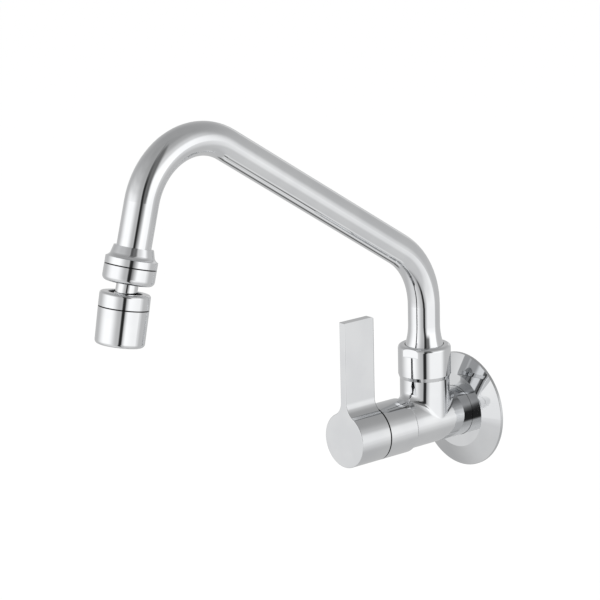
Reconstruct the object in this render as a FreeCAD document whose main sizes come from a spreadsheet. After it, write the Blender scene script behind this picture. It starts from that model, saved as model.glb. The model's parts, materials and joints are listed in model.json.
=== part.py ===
import FreeCAD, Part
import math
import os
import re

import Sketcher

# Wall-mounted sink tap: valve body on the wall, lever in front, swivel spout on top,
# ball-jointed aerator at the spout's end.
# Row frame in millimetres: +X to the right as one faces the wall, +Y into the wall, +Z up.
# The origin lies on the wall plane, on the axis of the horizontal valve body.

SIZES = {
    # wall flange and valve body, along the body axis, measured out from the wall
    "inlet_length": 20.0,
    "inlet_thread_radius": 10.48,
    "inlet_bore_radius": 5.5,
    "hub_start": 1.0,
    "flange_radius": 34.8,
    "flange_rim": 1.6,
    "flange_height": 6.0,
    "flange_ring_width": 7.4,
    "flange_sheet": 1.2,
    "flange_seal_section": 0.9,
    "flange_seal_bite": 0.7,
    "seat_tube_wall": 1.7,
    "chamber_undercut": 1.2,
    "chamber_margin": 0.5,
    "seat_depth": 16.0,
    "thread_depth": 8.0,
    # swivel neck and its nut, on an axis square to the body's
    "neck_out": 31.0,
    "neck_step": 0.3,
    "neck_blend": 5.0,
    "neck_straight": 6.1,
    "neck_shoulder_width": 1.4,
    "neck_thread_length": 11.8,
    "neck_wall": 3.0,
    "neck_bore_depth": 19.0,
    "throat_radius": 6.5,
    "throat_overlap": 3.0,
    "nut_step": 0.95,
    "nut_height": 20.0,
    "nut_lip": 2.1,
    "nut_mouth_gap": 0.3,
    "nut_round": 2.2,
    "nut_bevel": 0.8,
    "nut_bevel_height": 2.2,
    "nut_flat_depth": 0.9,
    "nut_flat_height": 5.3,
    "nut_flat_turn": 13.0,
    "slip_ring_thickness": 0.9,
    # spout foot, tube and its two bends
    "foot_step": 1.0,
    "foot_clearance": 1.0,
    "foot_wall": 3.2,
    "foot_collar_gap": 0.6,
    "foot_seal_section": 0.8,
    "foot_seal_inset": 5.0,
    "tube_radius": 9.5,
    "tube_wall": 1.0,
    "flare_step": 1.9,
    "flare_length": 11.7,
    "skirt_height": 3.0,
    "spout_upright": 36.4,
    "spout_reach": 193.0,
    "spout_incline": 32.3,
    "rise_bend_radius": 44.0,
    "top_bend_radius": 39.5,
    "outlet_tilt": 15.0,
    # outlet fitting, along the end leg, measured from the top corner of the spout's line
    "bell_start": 78.0,
    "bell_wall": 1.45,
    "bell_flare": 0.95,
    "bell_shoulder": 2.45,
    "bell_cone_length": 3.6,
    "bell_cove_length": 2.8,
    "bell_cove_radius": 3.6,
    "bell_length": 10.4,
    "tube_stop_inset": 1.9,
    "spigot_wall": 3.7,
    "spigot_length": 4.8,
    "connector_wall": 3.05,
    "connector_length": 9.2,
    "connector_floor": 1.5,
    "connector_round": 3.0,
    "washer_thickness": 1.5,
    "washer_hole_radius": 6.4,
    "stem_flange_gap": 0.8,
    "stem_flange_thickness": 1.3,
    "stem_radius": 6.05,
    "stem_bore_radius": 3.2,
    "ball_drop": 11.2,
    "ball_step": 2.35,
    "ball_flat_inset": 1.15,
    # aerator, along its own axis, measured from the ball centre
    "aerator_tilt": 11.0,
    "liner_wall": 0.94,
    "liner_above": 3.6,
    "liner_below": 1.5,
    "ball_seal_section": 0.9,
    "ball_seal_inset": 1.0,
    "socket_top": 6.2,
    "socket_throat": 4.4,
    "socket_length": 8.2,
    "socket_room": 3.65,
    "socket_wall": 2.7,
    "socket_round": 1.5,
    "socket_spigot_length": 4.0,
    "carrier_bore_gap": 0.3,
    "carrier_ledge": 1.0,
    "carrier_wall": 0.95,
    "carrier_rise": 1.15,
    "carrier_flange": 2.3,
    "shell_wall": 1.65,
    "shell_length": 20.5,
    "shell_taper": 0.3,
    "shell_lip": 1.4,
    "shell_lip_width": 2.65,
    "shell_round": 2.2,
    "aerator_washer_thickness": 1.5,
    "aerator_washer_gap": 0.2,
    "insert_flange": 1.4,
    "insert_wall": 1.2,
    "insert_foot_gap": 0.2,
    "insert_foot": 1.1,
    "grid_thickness": 1.7,
    "grid_cell": 2.3,
    "grid_rib": 0.55,
    "strainer_inset": 2.0,
    "strainer_rise": 1.4,
    "mesh_thickness": 0.4,
    "jet_plate_thickness": 2.0,
    "jet_margin": 2.0,
    "jet_radius": 0.7,
    "screen_spacing": 1.0,
    # quarter-turn cartridge, along the body axis from the seat outwards
    "cartridge_wall": 4.9,
    "seat_seal_thickness": 2.0,
    "seat_seal_inset": 0.3,
    "disc_thickness": 3.0,
    "port_inner_radius": 2.6,
    "port_inner_width": 3.4,
    "port_outer_width": 7.6,
    "port_margin": 1.7,
    "tongue_width": 3.8,
    "tongue_length": 11.0,
    "tongue_depth": 1.0,
    "housing_relief": 0.6,
    "housing_wall": 1.15,
    "housing_seal_bite": 0.8,
    "housing_seal_section": 0.85,
    "seal_recess_step": 1.0,
    "seal_recess_depth": 2.0,
    "hex_bearing": 0.7,
    "hex_height": 6.0,
    "window_width": 7.0,
    "window_length": 3.6,
    "collar_wall": 2.0,
    "collar_length": 4.1,
    "spindle_foot_inset": 0.5,
    "spindle_foot_thickness": 3.0,
    "thrust_washer_thickness": 0.5,
    "barrel_radius": 6.0,
    "barrel_length": 9.0,
    "spindle_seal_section": 0.55,
    "spindle_seal_start": 3.4,
    "spindle_seal_spacing": 3.0,
    "spindle_step": 2.0,
    "spindle_setback": 2.5,
    "spline_length": 13.0,
    "spline_depth": 0.45,
    "circlip_thickness": 0.8,
    "circlip_width": 2.2,
    "circlip_depth": 0.7,
    "circlip_gap_width": 3.0,
    # trim sleeve and lever
    "sleeve_margin": 0.2,
    "sleeve_seat_length": 11.0,
    "sleeve_step": 1.3,
    "sleeve_wall": 1.6,
    "sleeve_overhang": 1.0,
    "sleeve_front_wall": 1.4,
    "sleeve_round": 1.1,
    "lever_gap": 0.6,
    "lever_length": 22.2,
    "blade_width": 5.0,
    "blade_top": 71.0,
    "blade_fillet": 9.0,
    "lever_edge_round": 0.4,
    "blade_corner_round": 1.2,
    "lever_wall": 2.4,
    "lever_front_wall": 3.5,
    "boss_wall": 3.0,
    "boss_setback": 1.2,
    "rib_width": 8.0,
    "grub_setback": 7.0,
    "grub_radius": 2.0,
    "grub_length": 6.0,
    "grub_point": 0.5,
    "hex_socket_width": 2.0,
    "hex_socket_depth": 2.5,
    "plug_radius": 3.3,
    "plug_depth": 2.0,
    "plug_edge": 0.35,
    "plug_rise": 0.5,
    # named clearances
    "running_fit": 0.08,
    "seat_gap": 0.1,
    "thread_gap": 0.1,
    "slip_gap": 0.15,
    "disc_film": 0.05,
    "swivel_gap": 0.1,
    "seal_gap": 0.03,
    "joint_line": 0.2,
    "joint_line_round": 0.25,
}

# Sizes that follow from the ones above, so that a change of one carries its neighbours along.
FOLLOWING = {
    # radii of the body, its neck and the nut, outwards from the spout tube that the foot holds
    "flare_radius": "tube_radius + flare_step",
    "neck_bore_radius": "flare_radius - foot_step",
    "neck_thread_radius": "neck_bore_radius + neck_wall",
    "neck_radius": "neck_thread_radius + neck_shoulder_width",
    "body_radius": "neck_radius + neck_step",
    "nut_radius": "neck_radius + nut_step",
    "nut_bore_radius": "neck_thread_radius + thread_gap",
    "nut_mouth_radius": "flare_radius + nut_mouth_gap",
    "foot_collar_radius": "nut_bore_radius - foot_collar_gap",
    "foot_spigot_radius": "neck_bore_radius - running_fit",
    "foot_bore_radius": "neck_bore_radius - foot_wall",
    "foot_boss_radius": "flare_radius - tube_wall - seal_gap",
    "foot_seal_ring": "foot_spigot_radius - foot_seal_section",
    "foot_seal_floor": "foot_spigot_radius - 2 * foot_seal_section - seal_gap",
    # wall flange
    "flange_lip_radius": "body_radius + flange_ring_width",
    "flange_hole_radius": "body_radius + slip_gap",
    "flange_slope": "(flange_height - flange_rim) / (flange_radius - flange_lip_radius)",
    "flange_seal_at": "flange_height - flange_sheet - flange_seal_section - seal_gap",
    "flange_seal_ring": "body_radius - flange_seal_bite + flange_seal_section + seal_gap",
    # cartridge, inwards from the body's wall
    "cartridge_thread_radius": "body_radius - cartridge_wall",
    "cartridge_bore_radius": "cartridge_thread_radius + thread_gap",
    "chamber_radius": "cartridge_bore_radius + chamber_undercut",
    "seal_recess_radius": "cartridge_bore_radius + seal_recess_step",
    "hex_across_flats": "2 * (seal_recess_radius + hex_bearing)",
    "seat_tube_radius": "inlet_bore_radius + seat_tube_wall",
    "housing_radius": "cartridge_thread_radius - housing_relief",
    "housing_seal_neck": "cartridge_thread_radius - housing_seal_bite",
    "housing_seal_ring": "housing_seal_neck + housing_seal_section + seal_gap",
    "disc_radius": "housing_radius - housing_wall - slip_gap",
    "disc_bore_radius": "disc_radius + slip_gap",
    "seat_seal_radius": "disc_radius - seat_seal_inset",
    "port_outer_radius": "disc_radius - port_margin",
    "spindle_foot_radius": "disc_radius - spindle_foot_inset",
    "collar_radius": "barrel_radius + collar_wall",
    "stem_turned_radius": "barrel_radius - spindle_step",
    "spindle_seal_ring": "barrel_radius - spindle_seal_section",
    "spindle_seal_floor": "barrel_radius - 2 * spindle_seal_section - seal_gap",
    "circlip_radius": "stem_turned_radius + circlip_width",
    "circlip_floor": "stem_turned_radius - circlip_depth",
    # stations along the body, outwards from the wall
    "chamber_start": "neck_out - throat_radius - chamber_margin",
    "sleeve_start": "neck_out + neck_radius + neck_blend + sleeve_margin",
    "body_length": "sleeve_start + sleeve_seat_length",
    "chamber_end": "body_length - thread_depth",
    "housing_seal_at": "body_length - seal_recess_depth / 2",
    "seat_face": "body_length - seat_depth",
    "seat_seal_end": "seat_face + seat_seal_thickness",
    "fixed_disc_end": "seat_seal_end + disc_thickness",
    "moving_disc_start": "fixed_disc_end + disc_film",
    "moving_disc_end": "moving_disc_start + disc_thickness",
    "spindle_start": "moving_disc_end + seal_gap",
    "spindle_foot_end": "spindle_start + spindle_foot_thickness",
    "thrust_face": "spindle_foot_end + seal_gap + thrust_washer_thickness",
    "spindle_seal_first": "spindle_foot_end + spindle_seal_start",
    "spindle_seal_second": "spindle_seal_first + spindle_seal_spacing",
    "barrel_end": "spindle_foot_end + barrel_length",
    "hex_start": "body_length + seat_gap",
    "hex_end": "hex_start + hex_height",
    "housing_end": "hex_end + collar_length",
    "circlip_start": "housing_end + seal_gap",
    "sleeve_end": "housing_end + sleeve_overhang",
    "lever_rear": "sleeve_end + lever_gap",
    "lever_front": "lever_rear + lever_length",
    "lever_cavity_floor": "lever_front - lever_front_wall",
    "spindle_end": "lever_cavity_floor - spindle_setback",
    "boss_start": "lever_rear + boss_setback",
    "grub_at": "boss_start + grub_setback",
    # trim sleeve, lever and its grub screw
    "sleeve_radius": "body_radius + sleeve_step",
    "sleeve_seat_radius": "sleeve_radius - sleeve_wall - slip_gap",
    "lever_radius": "sleeve_radius",
    "lever_cavity_radius": "lever_radius - lever_wall",
    "boss_radius": "stem_turned_radius + boss_wall",
    "spline_bore_radius": "stem_turned_radius + thread_gap",
    "half_blade": "blade_width / 2",
    "fillet_across": "half_blade + blade_fillet",
    "fillet_span": "lever_radius + blade_fillet",
    "fillet_height": "sqrt(fillet_span * fillet_span - fillet_across * fillet_across)",
    "fillet_touch": "lever_radius / fillet_span",
    "grub_tip": "stem_turned_radius + seal_gap",
    "grub_end": "grub_tip + grub_length",
    "plug_top": "lever_radius + plug_rise",
    "plug_crown_height": "plug_edge + plug_rise",
    "plug_crown_radius": "(plug_radius * plug_radius + plug_crown_height * plug_crown_height)"
                         " / (2 * plug_crown_height)",
    # heights over the body axis
    "throat_floor": "chamber_radius - throat_overlap",
    "neck_shoulder": "body_radius + neck_blend + neck_straight",
    "neck_top": "neck_shoulder + neck_thread_length",
    "neck_floor": "neck_top - neck_bore_depth",
    "nut_bottom": "neck_shoulder + seat_gap",
    "nut_top": "nut_bottom + nut_height",
    "nut_under_lip": "nut_top - nut_lip",
    "foot_bottom": "neck_floor + foot_clearance",
    "foot_seal_low": "foot_bottom + foot_seal_inset",
    "foot_seal_high": "neck_top - foot_seal_inset",
    "foot_collar_bottom": "neck_top + slip_ring_thickness + swivel_gap",
    "upper_ring_bottom": "nut_under_lip - slip_ring_thickness",
    "foot_collar_top": "upper_ring_bottom - swivel_gap",
    "skirt_bottom": "foot_collar_top + seal_gap",
    "skirt_top": "skirt_bottom + skirt_height",
    "flare_top": "nut_top + flare_length",
    "flare_run": "flare_top - skirt_top",
    "flare_arc_radius": "(flare_run * flare_run + flare_step * flare_step) / (2 * flare_step)",
    "spout_rise": "flare_top + spout_upright",
    "top_corner_height": "spout_rise + spout_reach * tan(spout_incline)",
    # outlet bell and connector, radii and then stations along the end leg
    "bell_mouth_radius": "tube_radius + bell_wall",
    "bell_cone_radius": "bell_mouth_radius + bell_flare",
    "outlet_radius": "bell_cone_radius + bell_shoulder",
    "spigot_radius": "outlet_radius - connector_wall - thread_gap",
    "spigot_bore_radius": "spigot_radius - spigot_wall",
    "stem_flange_radius": "spigot_radius - stem_flange_gap",
    "bell_end": "bell_start + bell_length",
    "tube_stop": "bell_end - tube_stop_inset",
    "spigot_end": "bell_end + spigot_length",
    "connector_start": "bell_end + joint_line",
    "connector_end": "connector_start + connector_length",
    "connector_inside": "connector_end - connector_floor",
    "stem_flange_start": "connector_inside - seal_gap - stem_flange_thickness",
    "washer_start": "stem_flange_start - washer_thickness",
    "ball_along": "connector_end + ball_drop",
    # ball joint, outwards from the stem
    "ball_radius": "stem_radius + ball_step",
    "ball_flat_radius": "stem_radius - ball_flat_inset",
    "ball_flat_drop": "sqrt(ball_radius * ball_radius - ball_flat_radius * ball_flat_radius)",
    "stem_neck_end": "ball_along - sqrt(ball_radius * ball_radius - stem_radius * stem_radius)",
    "liner_bore_radius": "ball_radius + running_fit",
    "liner_radius": "liner_bore_radius + liner_wall",
    "liner_cavity_radius": "liner_radius + running_fit",
    "ball_seal_radius": "ball_radius - ball_seal_inset",
    "ball_seal_reach": "ball_radius + ball_seal_section + seal_gap",
    "ball_seal_at": "sqrt(ball_seal_reach * ball_seal_reach - ball_seal_radius * ball_seal_radius)",
    "socket_opening_radius": "stem_radius + socket_room",
    "socket_spigot_radius": "liner_cavity_radius + socket_wall",
    "socket_end": "socket_length - socket_top",
    "socket_spigot_end": "socket_end + socket_spigot_length",
    "carrier_bore_radius": "ball_flat_radius + carrier_bore_gap",
    "carrier_ledge_radius": "ball_seal_radius - carrier_ledge",
    "carrier_seal_wall": "ball_seal_radius + ball_seal_section + seal_gap",
    "carrier_top": "ball_seal_at - carrier_rise + seal_gap",
    "carrier_seal_floor": "ball_seal_at + ball_seal_section + seal_gap",
    "carrier_shoulder": "socket_spigot_end + seal_gap",
    "carrier_end": "carrier_shoulder + carrier_flange",
    # aerator shell and the insert inside it
    "shell_bore_radius": "socket_spigot_radius + thread_gap",
    "socket_radius": "shell_bore_radius + shell_wall",
    "shell_end_radius": "socket_radius - shell_taper",
    "shell_lip_radius": "shell_end_radius - shell_lip_width",
    "shell_start": "socket_end + joint_line",
    "shell_end": "shell_start + shell_length",
    "shell_lip_inside": "shell_end - shell_lip",
    "insert_radius": "shell_bore_radius - slip_gap",
    "insert_foot_radius": "shell_lip_radius - insert_foot_gap",
    "insert_bore_radius": "insert_foot_radius - insert_wall",
    "insert_shoulder": "shell_lip_inside - seal_gap",
    "insert_end": "shell_lip_inside + insert_foot",
    "grid_start": "insert_end - grid_thickness",
    "grid_pitch": "grid_cell + grid_rib",
    "grid_cell_corner": "grid_cell / sqrt(3)",
    "strainer_radius": "insert_foot_radius - strainer_inset",
    "strainer_dome_radius": "(strainer_radius * strainer_radius + strainer_rise * strainer_rise)"
                            " / (2 * strainer_rise)",
    "aerator_washer_hole_radius": "strainer_radius + aerator_washer_gap",
    "aerator_washer_end": "carrier_end + aerator_washer_thickness",
    "strainer_edge": "aerator_washer_end + insert_flange",
    "jet_circle_radius": "insert_bore_radius - jet_margin",
    "jet_start": "strainer_edge + jet_plate_thickness",
}

doc = FreeCAD.newDocument("sink_tap")
sheet = doc.addObject("Spreadsheet::Sheet", "Sizes")
for row, (alias, number) in enumerate(SIZES.items(), 1):
    sheet.set(f"A{row}", alias)
    sheet.set(f"B{row}", str(number))
    sheet.setAlias(f"B{row}", alias)
doc.recompute()

ALIAS = re.compile(r"\b(" + "|".join(SIZES) + r")\b")
FOLLOWER = re.compile(r"\b(" + "|".join(FOLLOWING) + r")\b")


def cells(text):
    """The expression with every size read from its cell, or from the set that follows the cells."""
    return FOLLOWER.sub(r"Following.\1", ALIAS.sub(r"Sizes.\1", str(text)))


following = doc.addObject("App::VarSet", "Following")
for alias in FOLLOWING:
    following.addProperty("App::PropertyFloat", alias, "Following")
for alias, text in FOLLOWING.items():
    following.setExpression(alias, cells(text))
doc.recompute()


INNERMOST = re.compile(r"(sqrt|sin|cos|tan)?\(([^()]*)\)")
FUNCTIONS = {
    "sqrt": math.sqrt,
    "sin": lambda degrees: math.sin(math.radians(degrees)),
    "cos": lambda degrees: math.cos(math.radians(degrees)),
    "tan": lambda degrees: math.tan(math.radians(degrees)),
    None: float,
}


def worked_out(found):
    """The number in a bracket, with the function in front of it applied."""
    number = FreeCAD.Units.Quantity(found.group(2)).Value
    return f"{FUNCTIONS[found.group(1)](number):.12f}"


def number_of(found):
    """The number that a size has now."""
    alias = found.group(1)
    number = SIZES[alias] if alias in SIZES else following.getPropertyByName(alias)
    return f"{number:.12f}"


def value(text):
    """The number that the expression stands for now, to place first guesses and find edges."""
    plain = FOLLOWER.sub(number_of, ALIAS.sub(number_of, f"({text})"))
    while "(" in plain:
        plain = INNERMOST.sub(worked_out, plain)
    return float(plain)


# Frames of the four turning axes. Each puts a local Z axis along the axis of turning.

def frame(y, z, turn):
    return (f"create(<<placement>>; create(<<vector>>; 0; {y}; {z}); "
            f"create(<<rotation>>; create(<<vector>>; 1; 0; 0); {turn}))")


TOP_Y = "-(neck_out + spout_reach)"
WALL = frame("0", "0", "90")
NECK = frame("-neck_out", "0", "0")
OUTLET = frame(TOP_Y, "top_corner_height", "180 - outlet_tilt")
AERATOR = frame(f"{TOP_Y} - ball_along * sin(outlet_tilt)",
                "top_corner_height - ball_along * cos(outlet_tilt)", "180 - aerator_tilt")


# Shared steps: bodies, sketches with every corner bound to the sheet, and the features on them.

def new_body(label, place):
    body = doc.addObject("PartDesign::Body", label)
    body.Label = label
    body.setExpression("Placement", cells(place))
    return body


def sketch_on(body, role, name, lift="0"):
    plane = next(item for item in body.Origin.OriginFeatures if item.Role == role)
    sketch = body.newObject("Sketcher::SketchObject", name)
    sketch.AttachmentSupport = [(plane, "")]
    sketch.MapMode = "FlatFace"
    if lift != "0":
        sketch.setExpression("AttachmentOffset.Base.z", cells(lift))
    return sketch


def bind(sketch, kind, refs, text):
    """One sketch constraint whose value follows an expression."""
    index = sketch.addConstraint(Sketcher.Constraint(kind, *refs, value(text)))
    sketch.setExpression(f"Constraints[{index}]", cells(text))


def arc_between(start, end, radius, side):
    """Arc from start to end, bulging to the left of that direction for side +1."""
    run = end - start
    half = run.Length / 2
    height = math.sqrt(max(radius * radius - half * half, 0.0))
    normal = FreeCAD.Vector(-run.y, run.x, 0) / run.Length
    centre = (start + end) / 2 - normal * (height * side)
    middle = centre + normal * (radius * side)
    return Part.Arc(start, middle, end)


def draw_outline(sketch, corners, arcs=None):
    """A closed outline through named corners; arcs maps a corner to the bend that leaves it."""
    arcs = arcs or {}
    names = list(corners)
    points = {name: FreeCAD.Vector(value(x), value(y), 0) for name, (x, y) in corners.items()}
    ends = []
    for index, name in enumerate(names):
        following = names[(index + 1) % len(names)]
        if name in arcs:
            radius, side = arcs[name]
            curve = arc_between(points[name], points[following], value(radius), side)
            added = sketch.addGeometry(curve, False)
            first = sketch.getPoint(added, 1)
            forward = (first - points[name]).Length < (first - points[following]).Length
            ends.append((added, 1, 2) if forward else (added, 2, 1))
        else:
            added = sketch.addGeometry(Part.LineSegment(points[name], points[following]), False)
            ends.append((added, 1, 2))
    for index, (piece, _, finish) in enumerate(ends):
        following, start, _ = ends[(index + 1) % len(ends)]
        sketch.addConstraint(Sketcher.Constraint("Coincident", piece, finish, following, start))
    for (piece, start, _), (x, y) in zip(ends, corners.values()):
        bind(sketch, "DistanceX", (-1, 1, piece, start), x)
        bind(sketch, "DistanceY", (-1, 1, piece, start), y)
    for index, name in enumerate(names):
        if name in arcs:
            bind(sketch, "Radius", (ends[index][0],), arcs[name][0])
    return sketch


def draw_circle(sketch, x, y, radius):
    centre = FreeCAD.Vector(value(x), value(y), 0)
    added = sketch.addGeometry(Part.Circle(centre, FreeCAD.Vector(0, 0, 1), value(radius)), False)
    bind(sketch, "DistanceX", (-1, 1, added, 3), x)
    bind(sketch, "DistanceY", (-1, 1, added, 3), y)
    bind(sketch, "Radius", (added,), radius)
    return sketch


def revolve(body, name, corners, arcs=None, cut=False):
    """Turn an outline in (radius, station) about the local Z axis, adding or cutting."""
    sketch = draw_outline(sketch_on(body, "XZ_Plane", f"{name}_outline"), corners, arcs)
    feature = body.newObject("PartDesign::Groove" if cut else "PartDesign::Revolution", name)
    feature.Profile = sketch
    feature.ReferenceAxis = (sketch, ["V_Axis"])
    feature.Angle = 360
    sketch.Visibility = False
    doc.recompute()
    return sketch


def turned(label, place, corners, arcs=None):
    body = new_body(label, place)
    revolve(body, f"{label}_turned", corners, arcs)
    return body


def pad(body, name, sketch, length, reverse=False):
    feature = body.newObject("PartDesign::Pad", name)
    feature.Profile = sketch
    feature.setExpression("Length", cells(length))
    feature.Reversed = reverse
    sketch.Visibility = False
    doc.recompute()
    return feature


def pocket(body, name, sketch, length, reverse=False):
    """A cut that has to take material away, or the build stops."""
    before = body.Shape.Volume
    feature = body.newObject("PartDesign::Pocket", name)
    feature.Profile = sketch
    feature.setExpression("Length", cells(length))
    feature.Reversed = reverse
    sketch.Visibility = False
    doc.recompute()
    if body.Shape.Volume > before - 1e-6:
        raise RuntimeError(f"{name} cuts nothing")
    return feature


def circle_edges(body, radius, station):
    """Names of the round edges of that radius at that height on the local Z axis."""
    names = []
    tip = body.Tip.Shape
    for number, edge in enumerate(tip.Edges, 1):
        curve = edge.Curve
        if curve.TypeId != "Part::GeomCircle":
            continue
        on_axis = abs(curve.Center.x) < 1e-4 and abs(curve.Center.y) < 1e-4
        if on_axis and abs(curve.Radius - value(radius)) < 1e-3 \
                and abs(curve.Center.z - value(station)) < 1e-3:
            names.append(f"Edge{number}")
    if not names:
        raise RuntimeError(f"{body.Label} has no round edge at {radius}, {station}")
    return names


def round_off(body, name, edges, size):
    base = body.Tip
    feature = body.newObject("PartDesign::Fillet", name)
    feature.Base = (base, edges)
    feature.setExpression("Radius", cells(size))
    doc.recompute()
    if "Invalid" in feature.State:
        raise RuntimeError(f"{name} has no rounding")
    return feature


def pattern(body, name, features, count, axis="Z_Axis"):
    feature = body.newObject("PartDesign::PolarPattern", name)
    feature.Originals = features
    line = next(item for item in body.Origin.OriginFeatures if item.Role == axis)
    feature.Axis = (line, [""])
    feature.Angle = 360
    feature.Occurrences = count
    body.Tip = feature
    doc.recompute()
    return feature


def torus(label, place, ring, section, station):
    """A seal ring round the local Z axis at the given station."""
    piece = doc.addObject("Part::Torus", label)
    piece.Label = label
    piece.setExpression("Radius1", cells(ring))
    piece.setExpression("Radius2", cells(section))
    shift = f"create(<<placement>>; create(<<vector>>; 0; 0; {station}); " \
            "create(<<rotation>>; create(<<vector>>; 0; 0; 1); 0))"
    piece.setExpression("Placement", cells(f"{place} * {shift}"))
    return piece


def ring(label, place, inner, outer, start, end):
    """A flat washer between two stations."""
    return turned(label, place, {
        "inner_start": (inner, start),
        "outer_start": (outer, start),
        "outer_end": (outer, end),
        "inner_end": (inner, end),
    })


def gathered(label, pieces):
    group = doc.addObject("Part::Compound", label)
    group.Label = label
    group.Links = pieces
    return group


parts = []


# Valve body: one casting with the threaded inlet tail, the horizontal barrel and the neck.
# Water comes in through the tail and the seat tube, and leaves through the ring chamber.

valve = turned("valve_body", WALL, {
    "tail_centre": ("0", "-inlet_length"),
    "tail_end": ("inlet_thread_radius", "-inlet_length"),
    "tail_root": ("inlet_thread_radius", "hub_start"),
    "hub_rear": ("body_radius", "hub_start"),
    "sleeve_step": ("body_radius", "sleeve_start"),
    "sleeve_seat": ("sleeve_seat_radius", "sleeve_start"),
    "front": ("sleeve_seat_radius", "body_length"),
    "front_centre": ("0", "body_length"),
})
neck = draw_circle(sketch_on(valve, "XZ_Plane", "neck_circle"), "0", "neck_out", "neck_radius")
pad(valve, "neck", neck, "neck_shoulder", reverse=True)
saddle = [f"Edge{number}" for number, edge in enumerate(valve.Tip.Shape.Edges, 1)
          if edge.Curve.TypeId == "Part::GeomBSplineCurve" and edge.BoundBox.YMin > 0]
round_off(valve, "neck_saddle", saddle, "neck_blend")
neck_thread = draw_circle(sketch_on(valve, "XZ_Plane", "neck_thread_circle"),
                          "0", "neck_out", "neck_thread_radius")
pad(valve, "neck_thread", neck_thread, "neck_top", reverse=True)
revolve(valve, "waterway", {
    "tail_centre": ("0", "-inlet_length"),
    "tail_bore": ("inlet_bore_radius", "-inlet_length"),
    "seat_bore": ("inlet_bore_radius", "seat_face"),
    "seat_edge": ("seat_tube_radius", "seat_face"),
    "tube_root": ("seat_tube_radius", "chamber_start"),
    "chamber_rear": ("chamber_radius", "chamber_start"),
    "chamber_front": ("chamber_radius", "chamber_end"),
    "thread_rear": ("cartridge_bore_radius", "chamber_end"),
    "thread_front": ("cartridge_bore_radius", "body_length - seal_recess_depth"),
    "recess_floor": ("seal_recess_radius", "body_length - seal_recess_depth"),
    "recess_mouth": ("seal_recess_radius", "body_length"),
    "front_centre": ("0", "body_length"),
}, cut=True)
revolve(valve, "flange_seal_groove", {
    "floor_rear": ("body_radius - flange_seal_bite", "flange_seal_at - flange_seal_section"),
    "mouth_rear": ("body_radius + flange_sheet", "flange_seal_at - flange_seal_section"),
    "mouth_front": ("body_radius + flange_sheet", "flange_seal_at + flange_seal_section"),
    "floor_front": ("body_radius - flange_seal_bite", "flange_seal_at + flange_seal_section"),
}, cut=True)
for name, radius, floor in (("neck_bore", "neck_bore_radius", "neck_floor"),
                            ("throat", "throat_radius", "throat_floor")):
    hole = draw_circle(sketch_on(valve, "XZ_Plane", f"{name}_circle", lift=f"-({floor})"),
                       "0", "neck_out", radius)
    pocket(valve, name, hole, f"neck_top - {floor}")
parts.append(valve)


# Wall flange: a spun shell with a thin rim, a shallow cone and a flat ring round the body.

flange = turned("wall_flange", WALL, {
    "rim_back": ("flange_radius", "0"),
    "rim_front": ("flange_radius", "flange_rim"),
    "lip": ("flange_lip_radius", "flange_height"),
    "hole_front": ("flange_hole_radius", "flange_height"),
    "hole_rear": ("flange_hole_radius", "flange_height - flange_sheet"),
    "lip_inside": ("flange_lip_radius", "flange_height - flange_sheet"),
    "rim_inside": ("flange_radius - flange_sheet",
                   "flange_rim - flange_sheet + flange_sheet * flange_slope"),
    "rim_foot": ("flange_radius - flange_sheet", "0"),
})
round_off(flange, "rim_round", circle_edges(flange, "flange_radius", "flange_rim"),
          "lever_edge_round")
parts.append(flange)
parts.append(torus("flange_o_ring", WALL, "flange_seal_ring", "flange_seal_section",
                   "flange_seal_at"))


# Spout nut: holds the spout foot down on the neck; two wrench flats cut its upper edge.

nut = turned("spout_nut", NECK, {
    "bottom_inner": ("nut_bore_radius", "nut_bottom"),
    "bottom_outer": ("nut_radius - nut_bevel", "nut_bottom"),
    "bevel_top": ("nut_radius", "nut_bottom + nut_bevel_height"),
    "top_outer": ("nut_radius", "nut_top"),
    "mouth_top": ("nut_mouth_radius", "nut_top"),
    "mouth_bottom": ("nut_mouth_radius", "nut_under_lip"),
    "lip_under": ("nut_bore_radius", "nut_under_lip"),
})
round_off(nut, "nut_shoulder", circle_edges(nut, "nut_radius", "nut_top"), "nut_round")
flat = draw_outline(sketch_on(nut, "XY_Plane", "flat_outline", lift="nut_top - nut_flat_height"), {
    "near_left": ("-nut_radius", "-nut_radius + nut_flat_depth"),
    "far_left": ("-nut_radius", "-nut_radius - nut_flat_depth"),
    "far_right": ("nut_radius", "-nut_radius - nut_flat_depth"),
    "near_right": ("nut_radius", "-nut_radius + nut_flat_depth"),
})
flat.setExpression("AttachmentOffset.Rotation", cells(
    "create(<<rotation>>; create(<<vector>>; 0; 0; 1); nut_flat_turn)"))
flat_cut = pocket(nut, "wrench_flat", flat, "nut_flat_height + seat_gap", reverse=True)
pattern(nut, "wrench_flats", [flat_cut], 2)
parts.append(nut)


# Spout foot: turned ferrule soldered into the tube, with a collar trapped under the nut's lip
# between two slip rings, and a spigot with two seals that turns in the neck.

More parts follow.
